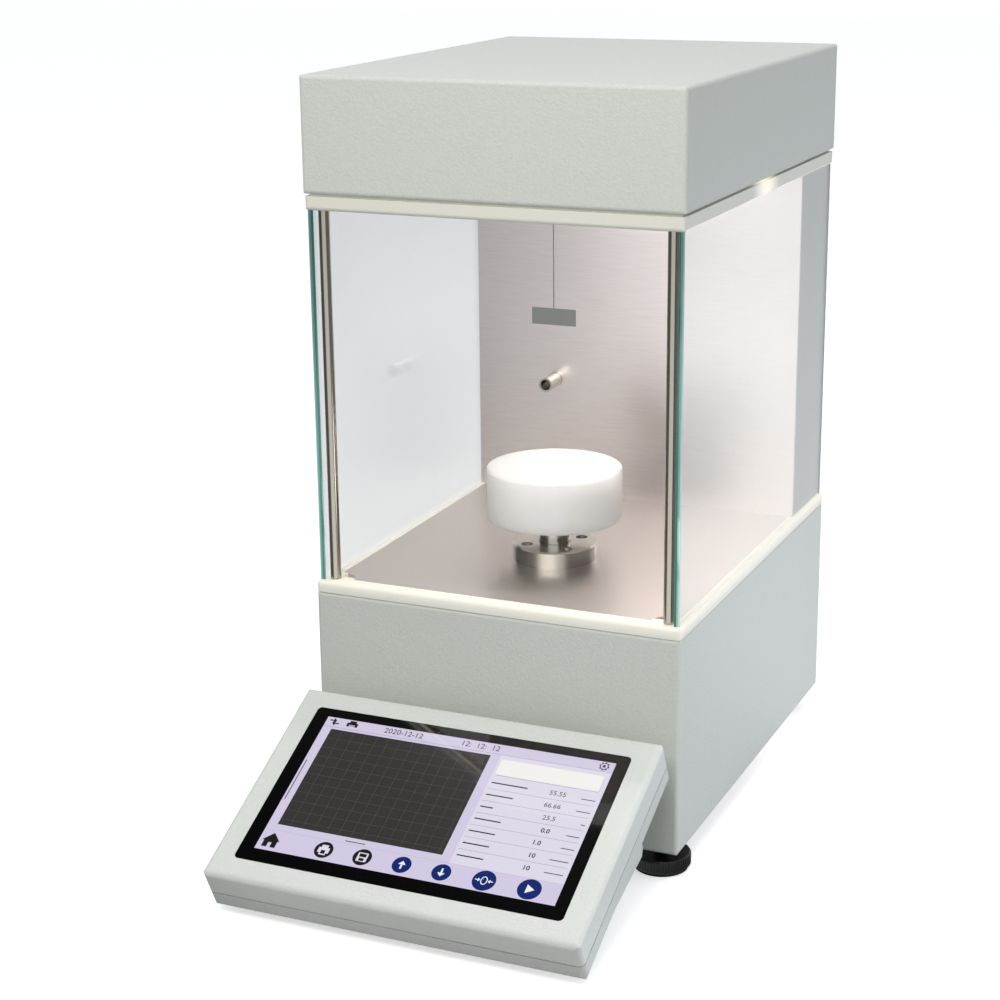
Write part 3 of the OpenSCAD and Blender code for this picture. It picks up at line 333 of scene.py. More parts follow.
def glowing(name, colour, glow_colour, strength, level_of):
    """Plastic that gives off light; level_of(tree) returns the socket that says how much, from 0 to 1."""
    material, tree, shader = new_material(name, colour, 0.42)
    shader.inputs["Emission Strength"].default_value = strength
    toned(tree, shader, glow_colour, level_of(tree), "Emission Color")
    return material


lamp_low, lamp_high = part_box("lamp_diffuser")
lamp_end = (lamp_high.x, (lamp_low.y + lamp_high.y) / 2, lamp_low.z)
head_trim_low, head_trim_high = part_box("head_trim")
base_trim_low, base_trim_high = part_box("base_trim")
# The trims' painted light: a warm patch on the upper trim's right rail below the lamp's end, and a glow that
# rises up the lower trim.
rail_light_patch = (head_trim_high.x, lamp_end[1], head_trim_low.z + 3 * MM)
pane_low, pane_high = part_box("glass_right")
GROOVE_PLAY = 0.35 * MM
LIGHT_PATCH_REACH = 26 * MM
GLOW_RISE_FROM, GLOW_RISE_TO = 0.12, 0.5
LAMP_REACH = 90 * MM
LAMP_REST = 0.04
LAMP_STRENGTH = 165.0
TRIM_GLOW_STRENGTH = 0.5


def upper_painted_glow(tree):
    """Painted light: the warm patch on the right rail, below the lamp's end, and the grooves, where glass
    would carry light.
    """
    return math_node(tree, "MAXIMUM", near_point(tree, rail_light_patch, LIGHT_PATCH_REACH), in_groove(tree))


def lower_painted_glow(tree):
    """Painted light: more towards the top of the lower trim, as light from the chamber reaches it, and full
    in the grooves, where glass would carry light.
    """
    z = add(tree, "ShaderNodeSeparateXYZ", {0: object_place(tree)}).outputs["Z"]
    painted_rise = ramp_between(tree, z, base_trim_low.z, base_trim_high.z, GLOW_RISE_FROM, GLOW_RISE_TO)
    return math_node(tree, "MAXIMUM", painted_rise, in_groove(tree))


def lamp_glow(tree):
    """Full at the window's right end, and LAMP_REST away from it."""
    return math_node(tree, "MAXIMUM", near_point(tree, lamp_end, LAMP_REACH), LAMP_REST)


# The two trims' emission is painted light from the chamber's lamp. Only the lamp's window is a lamp.
ivory = glowing(
    "ivory_plastic", from_srgb(232, 231, 221), from_srgb(255, 240, 214), TRIM_GLOW_STRENGTH, upper_painted_glow)
ivory_lower = glowing(
    "ivory_plastic_lower", from_srgb(232, 231, 222), from_srgb(255, 248, 230), TRIM_GLOW_STRENGTH, lower_painted_glow)
lamp_white = glowing(
    "lamp_window", from_srgb(255, 252, 245), from_srgb(255, 248, 243), LAMP_STRENGTH, lamp_glow)
print("lamp window from", lamp_low, "to", lamp_high)

# %% [markdown]
# ## Glass
# Float glass is clear when seen through its faces and teal along its cut edges, where light has crossed the
# whole pane. The faces use a plain transmissive shader. The cut edges are separate slim pieces in a teal
# finish, because a colour inside the pane would tint the faces as well. Across the edge the teal runs from
# dark to pale in bands. The pale bands are painted highlights in the base colour, where the polished bevels
# catch the light.

# %% Clear panes and their teal edges
PANE_TINT = (0.965, 0.985, 0.98, 1.0)
pane_glass = new_material("pane_glass", PANE_TINT, 0.0, Transmission_Weight=1.0, IOR=1.45)[0]
pane_edge, edge_tree, edge_shader = new_material("pane_edge", from_srgb(96, 152, 138), 0.16, Coat_Weight=0.5)
edge_place = add(edge_tree, "ShaderNodeSeparateXYZ", {0: object_place(edge_tree)})
edge_x = math_node(edge_tree, "ABSOLUTE", edge_place.outputs["X"], 0.0)
across_pane = add(edge_tree, "ShaderNodeMapRange", {"Value": edge_x})
across_pane.inputs["From Min"].default_value = pane_low.x
across_pane.inputs["From Max"].default_value = pane_high.x
bands = add(edge_tree, "ShaderNodeValToRGB", {"Fac": across_pane.outputs[0]})
# The pale stops are painted highlights where the polished bevels catch the light. The teal is the glass's own
# colour.
stops = [(0.0, (112, 160, 150)), (0.15, (66, 130, 120)), (0.42, (70, 134, 124)), (0.5, (146, 198, 190)),
         (0.58, (88, 152, 142)), (0.72, (150, 198, 192)), (1.0, (208, 230, 227))]
while len(bands.color_ramp.elements) < len(stops):
    bands.color_ramp.elements.new(0.5)
for element, (place, rgb) in zip(bands.color_ramp.elements, stops):
    element.position = place
    element.color = from_srgb(*rgb)
edge_tree.links.new(bands.outputs["Color"], edge_shader.inputs["Base Color"])


def rounded_edge(name, low, high, bulge, axis_sign):
    """A cut edge: across the pane the profile is half an ellipse, x = half * cos(t) and
    y = bulge * sin(t), and along z it is straight."""
    t = np.linspace(0, np.pi, 13)
    half = (high[0] - low[0]) / 2
    x = (low[0] + high[0]) / 2 + half * np.cos(t)
    y = low[1] + axis_sign * bulge * np.sin(t)
    z = np.array([low[2], high[2]])
    points = np.stack([np.tile(x, (2, 1)), np.tile(y, (2, 1)), np.repeat(z[:, None], len(t), 1)], -1)
    faces = [list(f) for f in grid_faces(2, len(t))]
    faces += [list(range(len(t))), list(range(len(t), 2 * len(t)))[::-1]]
    return make_piece(name, points.reshape(-1, 3), faces)


EDGE_BULGE = 0.35 * MM
trim_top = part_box("base_trim")[1].z
trim_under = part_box("head_trim")[0].z
for side in ("left", "right"):
    low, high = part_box("glass_" + side)
    for end, y, way in (("front", low.y, -1), ("rear", high.y, 1)):
        name = f"cut_edge_{side}_{end}"
        edge = rounded_edge(name, (low.x, y, trim_top), (high.x, y, trim_under), EDGE_BULGE, way)
        edge.data.materials.append(pane_edge)
        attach(edge, "body")
print("pane", low, high)

# %% [markdown]
# ## Dressing the solids
# The solids already have the right shapes, so each only gets its finish. One table gives a finish to each of
# the record's material slots, and a second one names the four pieces that differ from their slot: the
# chamber's floor, the posts, the lamp's window and the lower trim.

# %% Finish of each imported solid
finish_of_slot = {
    "housing_paint": housing_paint, "console_paint": console_paint, "ivory_plastic": ivory,
    "brushed_steel": plate_steel, "turned_steel": turned_steel, "pane_glass": pane_glass,
    "screen_glass": screen_glass, "screen_lit": screen_glass, "white_table": white_table,
    "aluminium": machined, "bronze": bronze, "circuit_board": circuit_board, "black_metal": black_metal,
    "black_plastic": black_plastic, "rubber": rubber, "blasted_platinum": blasted}
own_finish = {"chamber_floor": floor_steel, "front_posts": drawn_steel, "lamp_diffuser": lamp_white,
              "base_trim": ivory_lower}
for row in frame["record"]["subparts"]:
    finish = own_finish.get(row["node"], finish_of_slot[row["material_slot"]])
    mesh = nodes[row["node"]].data
    mesh.materials.clear()
    mesh.materials.append(finish)
print("finishes", len(bpy.data.materials))

# %% [markdown]
# ## Levelling feet
# Each foot is a knurled disc on a threaded stud. Both are turned forms whose radius changes with the angle:
# the disc's by its flutes, the stud's by a ridge that climbs one pitch in each turn. One surface of
# revolution with a radius formula gives both, where a modelled helix would need a boolean for every thread.

# %% Discs and studs
FLUTES = 60
FLUTE_DEPTH = 0.35 * MM
THREAD_PITCH = 1.25 * MM
THREAD_DEPTH = 0.65 * MM
STUD_RADIUS = 4.0 * MM
DISC_CHAMFER = 0.8 * MM
DISC_TOP = 8.5 * MM
STUD_POINTS = 48
FLUTE_POINTS = 6


def fluted(radius, height, angle):
    """On the full rim only: radius less a flute that follows |sin| of half the number of flutes times the
    angle."""
    flute = FLUTE_DEPTH * (1 - np.abs(np.sin(FLUTES * angle / 2)))
    return radius - np.where(radius > radius.max() - 0.5 * DISC_CHAMFER, flute, 0)


def threaded(radius, height, angle):
    """radius less a groove whose depth is a triangle wave of height / pitch less angle / turn."""
    phase = (height / THREAD_PITCH - angle / (2 * np.pi)) % 1
    return np.where(radius > 0.9 * STUD_RADIUS, radius - THREAD_DEPTH * np.abs(2 * phase - 1), radius)


def levelling_foot(tag):
    """The disc and the stud of one foot, in place of the plain solid and on its body."""
    low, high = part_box("foot_knob_" + tag)
    rim = (high.x - low.x) / 2
    axis = ((low.x + high.x) / 2, (low.y + high.y) / 2, 0.0)
    disc = [(rim - DISC_CHAMFER, low.z), (rim, low.z + DISC_CHAMFER), (rim, DISC_TOP - DISC_CHAMFER),
            (rim - DISC_CHAMFER, DISC_TOP)]
    heights = np.arange(DISC_TOP - 0.5 * MM, high.z - 0.6 * MM, THREAD_PITCH / 8)
    stud = [(STUD_RADIUS, z) for z in heights] + [(STUD_RADIUS * 0.8, high.z)]
    disc_points, disc_faces = turned(disc, FLUTES * FLUTE_POINTS, axis, fluted)
    stud_points, stud_faces = turned(stud, STUD_POINTS, axis, threaded)
    faces = disc_faces + [[i + len(disc_points) for i in f] for f in stud_faces]
    foot = make_piece("levelling_foot_" + tag, np.vstack([disc_points, stud_points]), faces, smooth=False)
    foot.data.materials.append(black_metal)
    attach(foot, "foot_knob_" + tag)
    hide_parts("foot_knob_" + tag)
    return foot


feet = [levelling_foot(tag) for tag in ("fl", "fr", "bl", "br")]
print("feet", [len(f.data.polygons) for f in feet])

# %% [markdown]
# ## Sockets and switch
# The mains inlet holds three flat blades, the data port two rows of round pins, and the rocker carries the
# usual bar and ring. A peg is one outline that shrinks towards its tip, carried along the axis that points
# out of the back, so blades and pins come from the same function with another outline.

# %% Pegs along +y
def pegs(name, places, outline, stations, finish):
    """For each place (x, y, z): the outline (x, z) times a station's scale, at that station's y. Both ends
    close."""
    outline, stations = np.asarray(outline, float), np.asarray(stations, float)
    ring_size, rows = len(outline), len(stations)
    flat = outline[None, :, :] * stations[:, 1, None, None]
    along = np.repeat(stations[:, :1], ring_size, 1)
    one = np.stack([flat[..., 0], along, flat[..., 1]], -1).reshape(-1, 3)
    faces = [list(f)[::-1] for f in grid_faces(rows, ring_size)]
    faces += [list(range(ring_size)), list(range((rows - 1) * ring_size, rows * ring_size))[::-1]]
    points = (np.asarray(places, float)[:, None, :] + one[None]).reshape(-1, 3)
    every = [[i + k * len(one) for i in f] for k in range(len(places)) for f in faces]
    piece = make_piece(name, points, every, smooth=False)
    piece.data.materials.append(finish)
    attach(piece, "body")
    return piece


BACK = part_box("base_shell")[1].y
BLADE_ROOT = 14 * MM
inlet_low, inlet_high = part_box("power_inlet")
inlet_middle = ((inlet_low.x + inlet_high.x) / 2, BACK - BLADE_ROOT, (inlet_low.z + inlet_high.z) / 2)
BLADE = np.array([(-1, -2), (1, -2), (1, 2), (-1, 2)]) * MM
blade_run = np.array([(-1, 1), (9.6, 1), (10.6, 0.6)]) * (MM, 1)
blade_places = [(inlet_middle[0] + x * MM, inlet_middle[1], inlet_middle[2] + z * MM)
                for x, z in ((-7, 0), (7, 0), (0, 3))]
blades = pegs("inlet_blades", blade_places, BLADE, blade_run, contact_metal)
port_low, port_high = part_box("data_port")
PIN_ROOT = 1 * MM
PIN_PITCH = 2.77 * MM
ROW_GAP = 2.84 * MM
PIN_RADIUS = 0.5 * MM
PIN_SHAFT = 3.0 * MM
port_middle = ((port_low.x + port_high.x) / 2, BACK + PIN_ROOT, (port_low.z + port_high.z) / 2)
pin_turn = np.linspace(0, 2 * np.pi, 16, endpoint=False)
PIN = np.stack([np.cos(pin_turn), np.sin(pin_turn)], -1) * PIN_RADIUS
dome = np.linspace(0, np.pi / 2, 5)[:-1]
tip = np.stack([PIN_SHAFT + PIN_RADIUS * np.sin(dome), np.cos(dome)], -1)
pin_run = np.vstack([[(-PIN_RADIUS, 1)], tip])
pin_places = [(port_middle[0] + (k - (n - 1) / 2) * PIN_PITCH, port_middle[1],
               port_middle[2] + side * ROW_GAP / 2)
              for n, side in ((5, 1), (4, -1)) for k in range(n)]
pins = pegs("port_pins", pin_places, PIN, pin_run, contact_metal)
print("blades", len(blades.data.polygons), "pins", len(pins.data.polygons))

# %% Bar and ring on the rocker's two faces
ROCKER_TILT = math.radians(10)
PIVOT_IN = 2.5 * MM
MARK_PROUD = 0.04 * MM
RING_POINTS = 40
face_edges = np.array([(4.2, 7.45), (2.8, 0.0), (4.2, -7.45)]) * MM
c, s = math.cos(ROCKER_TILT), math.sin(ROCKER_TILT)
face_edges = face_edges @ np.array([(c, s), (-s, c)])
rocker_low, rocker_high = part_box("switch_rocker")
pivot = np.array([(rocker_low.x + rocker_high.x) / 2, BACK - PIVOT_IN, inlet_middle[2]])


def on_rocker(outline, upper):
    """Puts an outline (x, height) on one face of the rocker, MARK_PROUD above it."""
    ends = face_edges[1], face_edges[0 if upper else 2]
    middle = (ends[0] + ends[1]) / 2
    along = (ends[0] - ends[1]) * (-1 if upper else 1)
    along /= np.linalg.norm(along)
    out = np.array([along[1], -along[0]])
    flat = middle + outline[:, 1:] * along + out * MARK_PROUD
    return np.column_stack([pivot[0] - outline[:, 0], pivot[1] + flat[:, 0], pivot[2] + flat[:, 1]])


round_turn = np.linspace(0, 2 * np.pi, RING_POINTS, endpoint=False)
circle = np.stack([np.cos(round_turn), np.sin(round_turn)], -1)
bar_mark = np.array([(-0.4, -1.7), (0.4, -1.7), (0.4, 1.7), (-0.4, 1.7)]) * MM
ring_mark = np.vstack([circle * 1.8, circle * 1.15]) * MM
mark_points = np.vstack([on_rocker(bar_mark, True), on_rocker(ring_mark, False)])
mark_faces = [[0, 1, 2, 3]] + [list(f) for f in grid_faces(2, RING_POINTS, start=4)]
marks = make_piece("switch_marks", mark_points, mark_faces, smooth=False)
marks.data.materials.append(mark_white)
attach(marks, "switch_rocker")

# %% [markdown]
# ## The screen's picture
# The lit picture lies on the touch glass. At this size its chart, buttons and numbers are flat shapes, so it
# is drawn with outlines on a plane: each outline is a formula in millimetres from the picture's top left
# corner, each has an ink colour, and later layers lie a hair above earlier ones. An image would blur and
# can't be kept here.

# %% The screen's plane
CONSOLE_TILT = math.radians(26)
GLASS_THICK = 2.0 * MM
PICTURE_W = 154.1
PICTURE_H = 85.9
PICTURE_RIGHT = 0.7 * MM
PICTURE_UP = 1.1 * MM
LAYER = 0.03 * MM
glass_low, glass_high = (np.array(c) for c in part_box("touch_glass"))
across = np.array([1.0, 0.0, 0.0])
up_slope = np.array([0.0, math.cos(CONSOLE_TILT), math.sin(CONSOLE_TILT)])
outward = np.array([0.0, -math.sin(CONSOLE_TILT), math.cos(CONSOLE_TILT)])
on_glass = (glass_low + glass_high) / 2 + outward * GLASS_THICK / 2
picture_centre = on_glass + across * PICTURE_RIGHT + up_slope * PICTURE_UP
picture_corner = picture_centre - across * PICTURE_W * MM / 2 + up_slope * PICTURE_H * MM / 2
print("picture centre", picture_centre.round(4))

# %% Outlines in millimetres, x to the right and y down the slope
def rounded_box(x, y, w, h, r=0.0):
    """Corners joined by quarter circles: centre of each corner plus r times (cos, sin)."""
    if r == 0:
        return np.array([(x, y), (x + w, y), (x + w, y + h), (x, y + h)])
    t = np.linspace(0, np.pi / 2, 7)
    corners = [(x + w - r, y + h - r, 0), (x + r, y + h - r, 1), (x + r, y + r, 2), (x + w - r, y + r, 3)]
    return np.vstack([np.stack([cx + r * np.cos(t + q * np.pi / 2), cy + r * np.sin(t + q * np.pi / 2)], -1)
                      for cx, cy, q in corners])


def disc(x, y, r, points=48):
    """Points on a circle, (x, y) plus r times (cos, sin)."""
    t = np.linspace(0, 2 * np.pi, points, endpoint=False)
    return np.stack([x + r * np.cos(t), y + r * np.sin(t)], -1)


def gear(x, y, r, teeth=8):
    """A circle whose radius steps in and out once for each tooth."""
    t = np.linspace(0, 2 * np.pi, teeth * 8, endpoint=False)
    radius = np.where(np.arange(len(t)) % 8 < 4, r, 0.78 * r)
    return np.stack([x + radius * np.cos(t), y + radius * np.sin(t)], -1)


def arrow(x, y, size, turn):
    """A shaft and a head, pointing up before it is turned by that many degrees."""
    right_half = [(0, -1.0), (0.8, -0.15), (0.42, -0.02), (0.2, -0.25), (0.2, 1.0)]
    left_half = [(-x_in, y_in) for x_in, y_in in right_half[:0:-1]]
    shape = np.array(right_half + left_half) * size
    c, s = math.cos(math.radians(turn)), math.sin(math.radians(turn))
    return shape @ np.array([(c, s), (-s, c)]) + (x, y)


def ring(x, y, rx, ry, width, points=40):
    """Two ellipses joined as one band: the outer one forwards, the inner one backwards."""
    t = np.linspace(0, 2 * np.pi, points + 1)
    outer = np.stack([x + rx * np.cos(t), y + ry * np.sin(t)], -1)
    inner = np.stack([x + (rx - width) * np.cos(t), y + (ry - width) * np.sin(t)], -1)
    return np.vstack([outer, inner[::-1]])


# %% [markdown]
# ## Ink
# All shapes of the picture go into one mesh, and a colour attribute on its faces holds the ink, so the
# whole screen is one piece with one material. Numbers come from Blender's own font, turned into a mesh.

# %% Collect shapes, then lay them on the screen
INK = {"lilac": (219, 211, 236), "pale": (230, 226, 242), "chart": (60, 55, 55), "dots": (104, 98, 98),
       "dark": (30, 28, 32), "navy": (16, 40, 116), "white": (250, 249, 246), "line": (168, 160, 186),
       "shade": (196, 188, 212)}
drawn = []


def draw(outline, ink, layer, faces=None):
    """Keeps an outline with its ink and layer until the whole picture is laid on the screen."""
    drawn.append((np.asarray(outline, float), ink, layer, faces))


def numbers(text, x, y, height, ink, layer, right=False, weight=0.0):
    """Digits from the built-in font, scaled so that a digit's height is given; y is the digits' middle."""
    curve = bpy.data.curves.new("digits", "FONT")
    curve.body = text
    curve.offset = weight
    curve.resolution_u = 3
    holder = bpy.data.objects.new("digits", curve)
    mesh = bpy.data.meshes.new_from_object(holder)
    points = np.empty(len(mesh.vertices) * 3)
    mesh.vertices.foreach_get("co", points)
    points = points.reshape(-1, 3)[:, :2]
    faces = [list(p.vertices) for p in mesh.polygons]
    bpy.data.objects.remove(holder)
    bpy.data.meshes.remove(mesh)
    bpy.data.curves.remove(curve)
    scale = height / (points[:, 1].max() - min(points[:, 1].min(), 0))
    points = points * scale
    points[:, 0] += x - (points[:, 0].max() if right else points[:, 0].min())
    points[:, 1] = y + height / 2 - points[:, 1]
    draw(points, ink, layer, faces)


# The ground, the bar along the top and the row of buttons along the bottom
BAR_H = 6.0
ROW_TOP = 73.7
draw(rounded_box(0, 0, PICTURE_W, PICTURE_H), "lilac", 0)
draw(rounded_box(97, BAR_H, PICTURE_W - 97, ROW_TOP - BAR_H), "pale", 1)
draw(rounded_box(0, BAR_H, PICTURE_W, 0.25), "line", 2)
draw(rounded_box(0, ROW_TOP, PICTURE_W, 0.2), "shade", 2)
numbers("2020-12-12", 32.8, 2.85, 3.2, "dark", 3)
numbers("12:  12:  12", 75.4, 2.85, 3.2, "dark", 3)
draw(gear(149.0, 2.9, 2.6), "dark", 3)
draw(disc(149.0, 2.9, 1.7), "lilac", 4)
draw(disc(149.0, 2.9, 0.8), "dark", 5)

# Two small signs at the left of the bar: a pair of arrows and a printer
draw(arrow(3.9, 2.0, 1.9, 90), "dark", 3)
draw(arrow(5.6, 3.7, 1.9, -90), "dark", 3)
draw(rounded_box(11.8, 1.9, 6.0, 2.6, 0.5), "dark", 3)
draw(rounded_box(13.0, 0.6, 3.6, 1.5), "dark", 3)
draw(rounded_box(13.2, 3.3, 3.2, 1.9), "lilac", 4)
draw(rounded_box(13.5, 3.7, 2.6, 0.35), "dark", 5)

# The chart with its dotted grid
CHART = (5.0, 7.5, 87.0, 62.5)
GRID_X = 6.5
GRID_Y = 5.9
DOT = 0.24
DOT_STEP = 0.93
draw(rounded_box(*CHART), "chart", 1)
for x in np.arange(CHART[0] + GRID_X, CHART[0] + CHART[2] - 1, GRID_X):
    for y in np.arange(CHART[1] + DOT_STEP, CHART[1] + CHART[3], DOT_STEP):
        draw(rounded_box(x, y, DOT, DOT * 1.6), "dots", 2)
for y in np.arange(CHART[1] + GRID_Y, CHART[1] + CHART[3] - 1, GRID_Y):
    for x in np.arange(CHART[0] + DOT_STEP, CHART[0] + CHART[2], DOT_STEP):
        draw(rounded_box(x, y, DOT * 1.6, DOT), "dots", 2)

# The entry box and the seven rows of values
ENTRY = (98.5, 8.9, 53.0, 9.6)
draw(rounded_box(ENTRY[0] + 0.3, ENTRY[1] + 0.5, ENTRY[2], ENTRY[3], 1.0), "shade", 2)
draw(rounded_box(*ENTRY, 1.0), "white", 3)
FIRST_ROW = 23.6
ROW_STEP = 7.45
values = ("55.55", "66.66", "25.5", "0.0", "1.0", "10", "10")
label_widths = (18.7, 14.0, 6.7, 13.5, 13.5, 13.5, 13.5)
unit_widths = (7.2, 7.2, 2.2, 6.6, 6.6, 9.4, 9.4)
for i, (value, label_w, unit_w) in enumerate(zip(values, label_widths, unit_widths)):
    y = FIRST_ROW + i * ROW_STEP
    heavy = 0.02 if i > 2 else 0.0
    numbers(value, 137.0 if i < 4 else 135.4, y, 2.7, "dark", 3, right=True, weight=heavy)
    draw(rounded_box(98.7, y - 0.35, label_w, 0.7, 0.3), "dark", 3)
    draw(rounded_box(152.0 - unit_w, y + 0.5, unit_w, 0.45, 0.2), "dark", 3)
    if i < len(values) - 1:
        draw(rounded_box(98.0, y + ROW_STEP / 2, 54.3, 0.22), "line", 2)
draw(rounded_box(42.5, 72.1, 10.5, 0.45, 0.2), "dark", 3)
draw(rounded_box(1.2, 29.0, 0.45, 26.0, 0.2), "dark", 3)

# The bottom row: a house, two dark buttons and four navy ones
BUTTON_Y = 79.7
draw([(1.6, 80.2), (6.3, 75.4), (11.0, 80.2), (9.9, 80.2), (9.9, 84.0), (2.7, 84.0), (2.7, 80.2)], "dark", 3)
draw(rounded_box(5.4, 81.2, 1.8, 2.8), "lilac", 4)
for x in (34.5, 54.8):
    draw(disc(x, BUTTON_Y, 4.75), "dark", 3)
draw(rounded_box(31.6, 78.3, 5.8, 3.2, 0.4), "pale", 4)
draw(rounded_box(32.8, 76.8, 3.4, 5.9), "pale", 4)
draw(rounded_box(33.4, 79.9, 2.2, 2.1), "dark", 5)
draw(rounded_box(52.2, 77.1, 5.2, 5.2, 0.4), "pale", 4)
draw(rounded_box(53.0, 77.7, 3.6, 1.9), "dark", 5)
draw(rounded_box(53.5, 80.3, 2.6, 1.6), "dark", 5)
for x, r in ((75.3, 4.75), (95.6, 4.75), (117.1, 5.75), (139.5, 5.75)):
    draw(disc(x, BUTTON_Y, r), "navy", 3)
draw(arrow(75.3, BUTTON_Y, 2.3, 0), "white", 4)
draw(arrow(95.6, BUTTON_Y, 2.3, 180), "white", 4)
draw(ring(117.1, BUTTON_Y, 1.7, 2.4, 0.5), "white", 4)
draw(arrow(113.9, BUTTON_Y, 1.3, 90), "white", 4)
draw(arrow(120.3, BUTTON_Y, 1.3, -90), "white", 4)
draw([(137.9, BUTTON_Y - 2.5), (142.0, BUTTON_Y), (137.9, BUTTON_Y + 2.5)], "white", 4)

points, faces, inks = [], [], []
for outline, ink, layer, own_faces in drawn:
    start = sum(len(p) for p in points)
    flat = outline * MM
    raised = outward * LAYER * (layer + 1)
    on_plane = picture_corner + flat[:, :1] * across - flat[:, 1:] * up_slope + raised
    if own_faces is None:
        turn = np.sum(flat[:, 0] * np.roll(flat[:, 1], -1) - np.roll(flat[:, 0], -1) * flat[:, 1])
        order = list(range(len(flat)))
        own_faces = [order[::-1] if turn > 0 else order]
    points.append(on_plane)
    faces += [[start + i for i in f] for f in own_faces]
    inks += [ink] * len(own_faces)
picture = make_piece("screen_picture", np.vstack(points), faces, smooth=False)
shades = picture.data.color_attributes.new("ink", "FLOAT_COLOR", "CORNER")
per_corner = np.repeat([from_srgb(*INK[i]) for i in inks], [len(f) for f in faces], axis=0)
shades.data.foreach_set("color", per_corner.astype(np.float32).ravel())
print("picture", len(drawn), "shapes", len(faces), "faces")

# %% Light from the picture, gloss from the glass above it
screen_lit, screen_tree, screen_shader = new_material(
    "screen_lit", (0.0, 0.0, 0.0, 1.0), 0.25, Coat_Weight=1.0, Coat_Roughness=0.03)
ink_colour = add(screen_tree, "ShaderNodeVertexColor", layer_name="ink")
screen_tree.links.new(ink_colour.outputs["Color"], screen_shader.inputs["Emission Color"])
screen_shader.inputs["Emission Strength"].default_value = 0.95
picture.data.materials.append(screen_lit)
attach(picture, "body")

# %% [markdown]
# ## The scene
# The camera stands where the photograph's camera stood: its place and turn come from fitting the
# instrument's own corners, and the shift puts the picture's middle where the lens's axis met it.

# %% Camera
FOCAL_PIXELS = 2126.0
FRAME_PIXELS = 1000.0
PRINCIPAL = (501.7, 498.9)
CAMERA_AT = (0.4057, -0.9669, 0.4778)
RIGHT = np.array([0.9154, 0.4025, -0.0102])
DOWN = np.array([0.1054, -0.264, -0.9587])
camera_data = bpy.data.cameras.new("camera")
camera_data.sensor_width = 36.0
camera_data.lens = FOCAL_PIXELS / FRAME_PIXELS * camera_data.sensor_width
camera_data.shift_x = (FRAME_PIXELS / 2 - PRINCIPAL[0]) / FRAME_PIXELS
camera_data.shift_y = (PRINCIPAL[1] - FRAME_PIXELS / 2) / FRAME_PIXELS
camera = bpy.data.objects.new("camera", camera_data)
right = RIGHT / np.linalg.norm(RIGHT)
down = DOWN - right * (DOWN @ right)
down /= np.linalg.norm(down)
turn = np.stack([right, -down, -np.cross(right, down)], 1)
camera.matrix_world = Matrix([[*turn[i], CAMERA_AT[i]] for i in range(3)] + [[0, 0, 0, 1]])
bpy.context.scene.collection.objects.link(camera)
bpy.context.scene.camera = camera

# %% [markdown]
# ## Floor, world and lamps
# The world and the floor are white to the camera and pale grey through glass, as in the photograph. What
# polished steel mirrors is white as well, with a dark card on either side and above: without the cards,
# round posts would show no bright and dark bands and the black glass would look grey. Each level asks
# Light Path which kind of ray it serves, so the camera's white adds no light to the object. For soft light
# the floor is darker than it looks and the world a little cooler, as under the photograph's lamps.

# %% Which ray a shader serves
def ray_kinds(tree):
    """Sockets that are 1 for a ray from the camera, for one that came through glass, for a mirrored one
    and for one that carries soft light."""
    path = tree.nodes.new("ShaderNodeLightPath")
    through = path.outputs["Is Transmission Ray"]
    not_through = math_node(tree, "SUBTRACT", 1.0, through)
    mirrored = math_node(tree, "MULTIPLY", path.outputs["Is Glossy Ray"], not_through)
    return path.outputs["Is Camera Ray"], through, mirrored, path.outputs["Is Diffuse Ray"]


def card(tree, flat_direction, azimuth, inside, outside, dark):
    """A tall dark card: the cosine between a level direction and the card's middle, eased from 1 at the
    outside angle down to dark at the inside one. Angles are degrees."""
    middle = math.radians(azimuth)
    facing = add(tree, "ShaderNodeVectorMath", {0: flat_direction}, operation="DOT_PRODUCT")
    facing.inputs[1].default_value = (math.cos(middle), math.sin(middle), 0.0)
    start, end = math.cos(math.radians(outside)), math.cos(math.radians(inside))
    return ramp_between(tree, facing.outputs["Value"], start, end, 1.0, dark)


LEFT_CARD = {"azimuth": 200, "inside": 36, "outside": 52, "dark": 0.14}
RIGHT_CARD = {"azimuth": 5, "inside": 34, "outside": 54, "dark": 0.2}


def cards_seen(tree, direction):
    """Tone of the two cards, to the left and to the right of the camera, for a direction or a place."""
    level = add(tree, "ShaderNodeVectorMath", {0: direction}, operation="MULTIPLY")
    level.inputs[1].default_value = (1.0, 1.0, 0.0)
    flat = add(tree, "ShaderNodeVectorMath", {0: level.outputs[0]}, operation="NORMALIZE").outputs[0]
    return math_node(tree, "MULTIPLY", card(tree, flat, **LEFT_CARD), card(tree, flat, **RIGHT_CARD))


def blend_levels(tree, base, *kinds):
    """base plus, for each (kind socket, extra), extra where the kind is 1."""
    total = base
    for kind, extra in kinds:
        total = math_node(tree, "ADD", math_node(tree, "MULTIPLY", kind, extra), total)
    return total


# %% Floor
FLOOR_HALF = 6.0
FLOOR_GREY = (0.9, 0.9, 0.9, 1.0)
CAMERA_LIFT = 0.55
GLASS_LIFT = 0.15
MIRROR_LIFT = 0.5
BOUNCE_LOSS = -0.57
square = [(x * FLOOR_HALF, y * FLOOR_HALF, 0) for x, y in ((-1, -1), (1, -1), (1, 1), (-1, 1))]
floor = make_piece("floor", square, [(0, 1, 2, 3)], smooth=False)
floor_paint, floor_tree, floor_shader = new_material("pale_floor", FLOOR_GREY, 0.9)
floor_shader.inputs["Specular IOR Level"].default_value = 0.0
floor_shader.inputs["Emission Color"].default_value = (1.0, 1.0, 1.0, 1.0)
by_camera, through_glass, mirrored, soft_light = ray_kinds(floor_tree)
floor_cards = cards_seen(floor_tree, object_place(floor_tree))
card_loss = math_node(floor_tree, "SUBTRACT", floor_cards, 1.0)
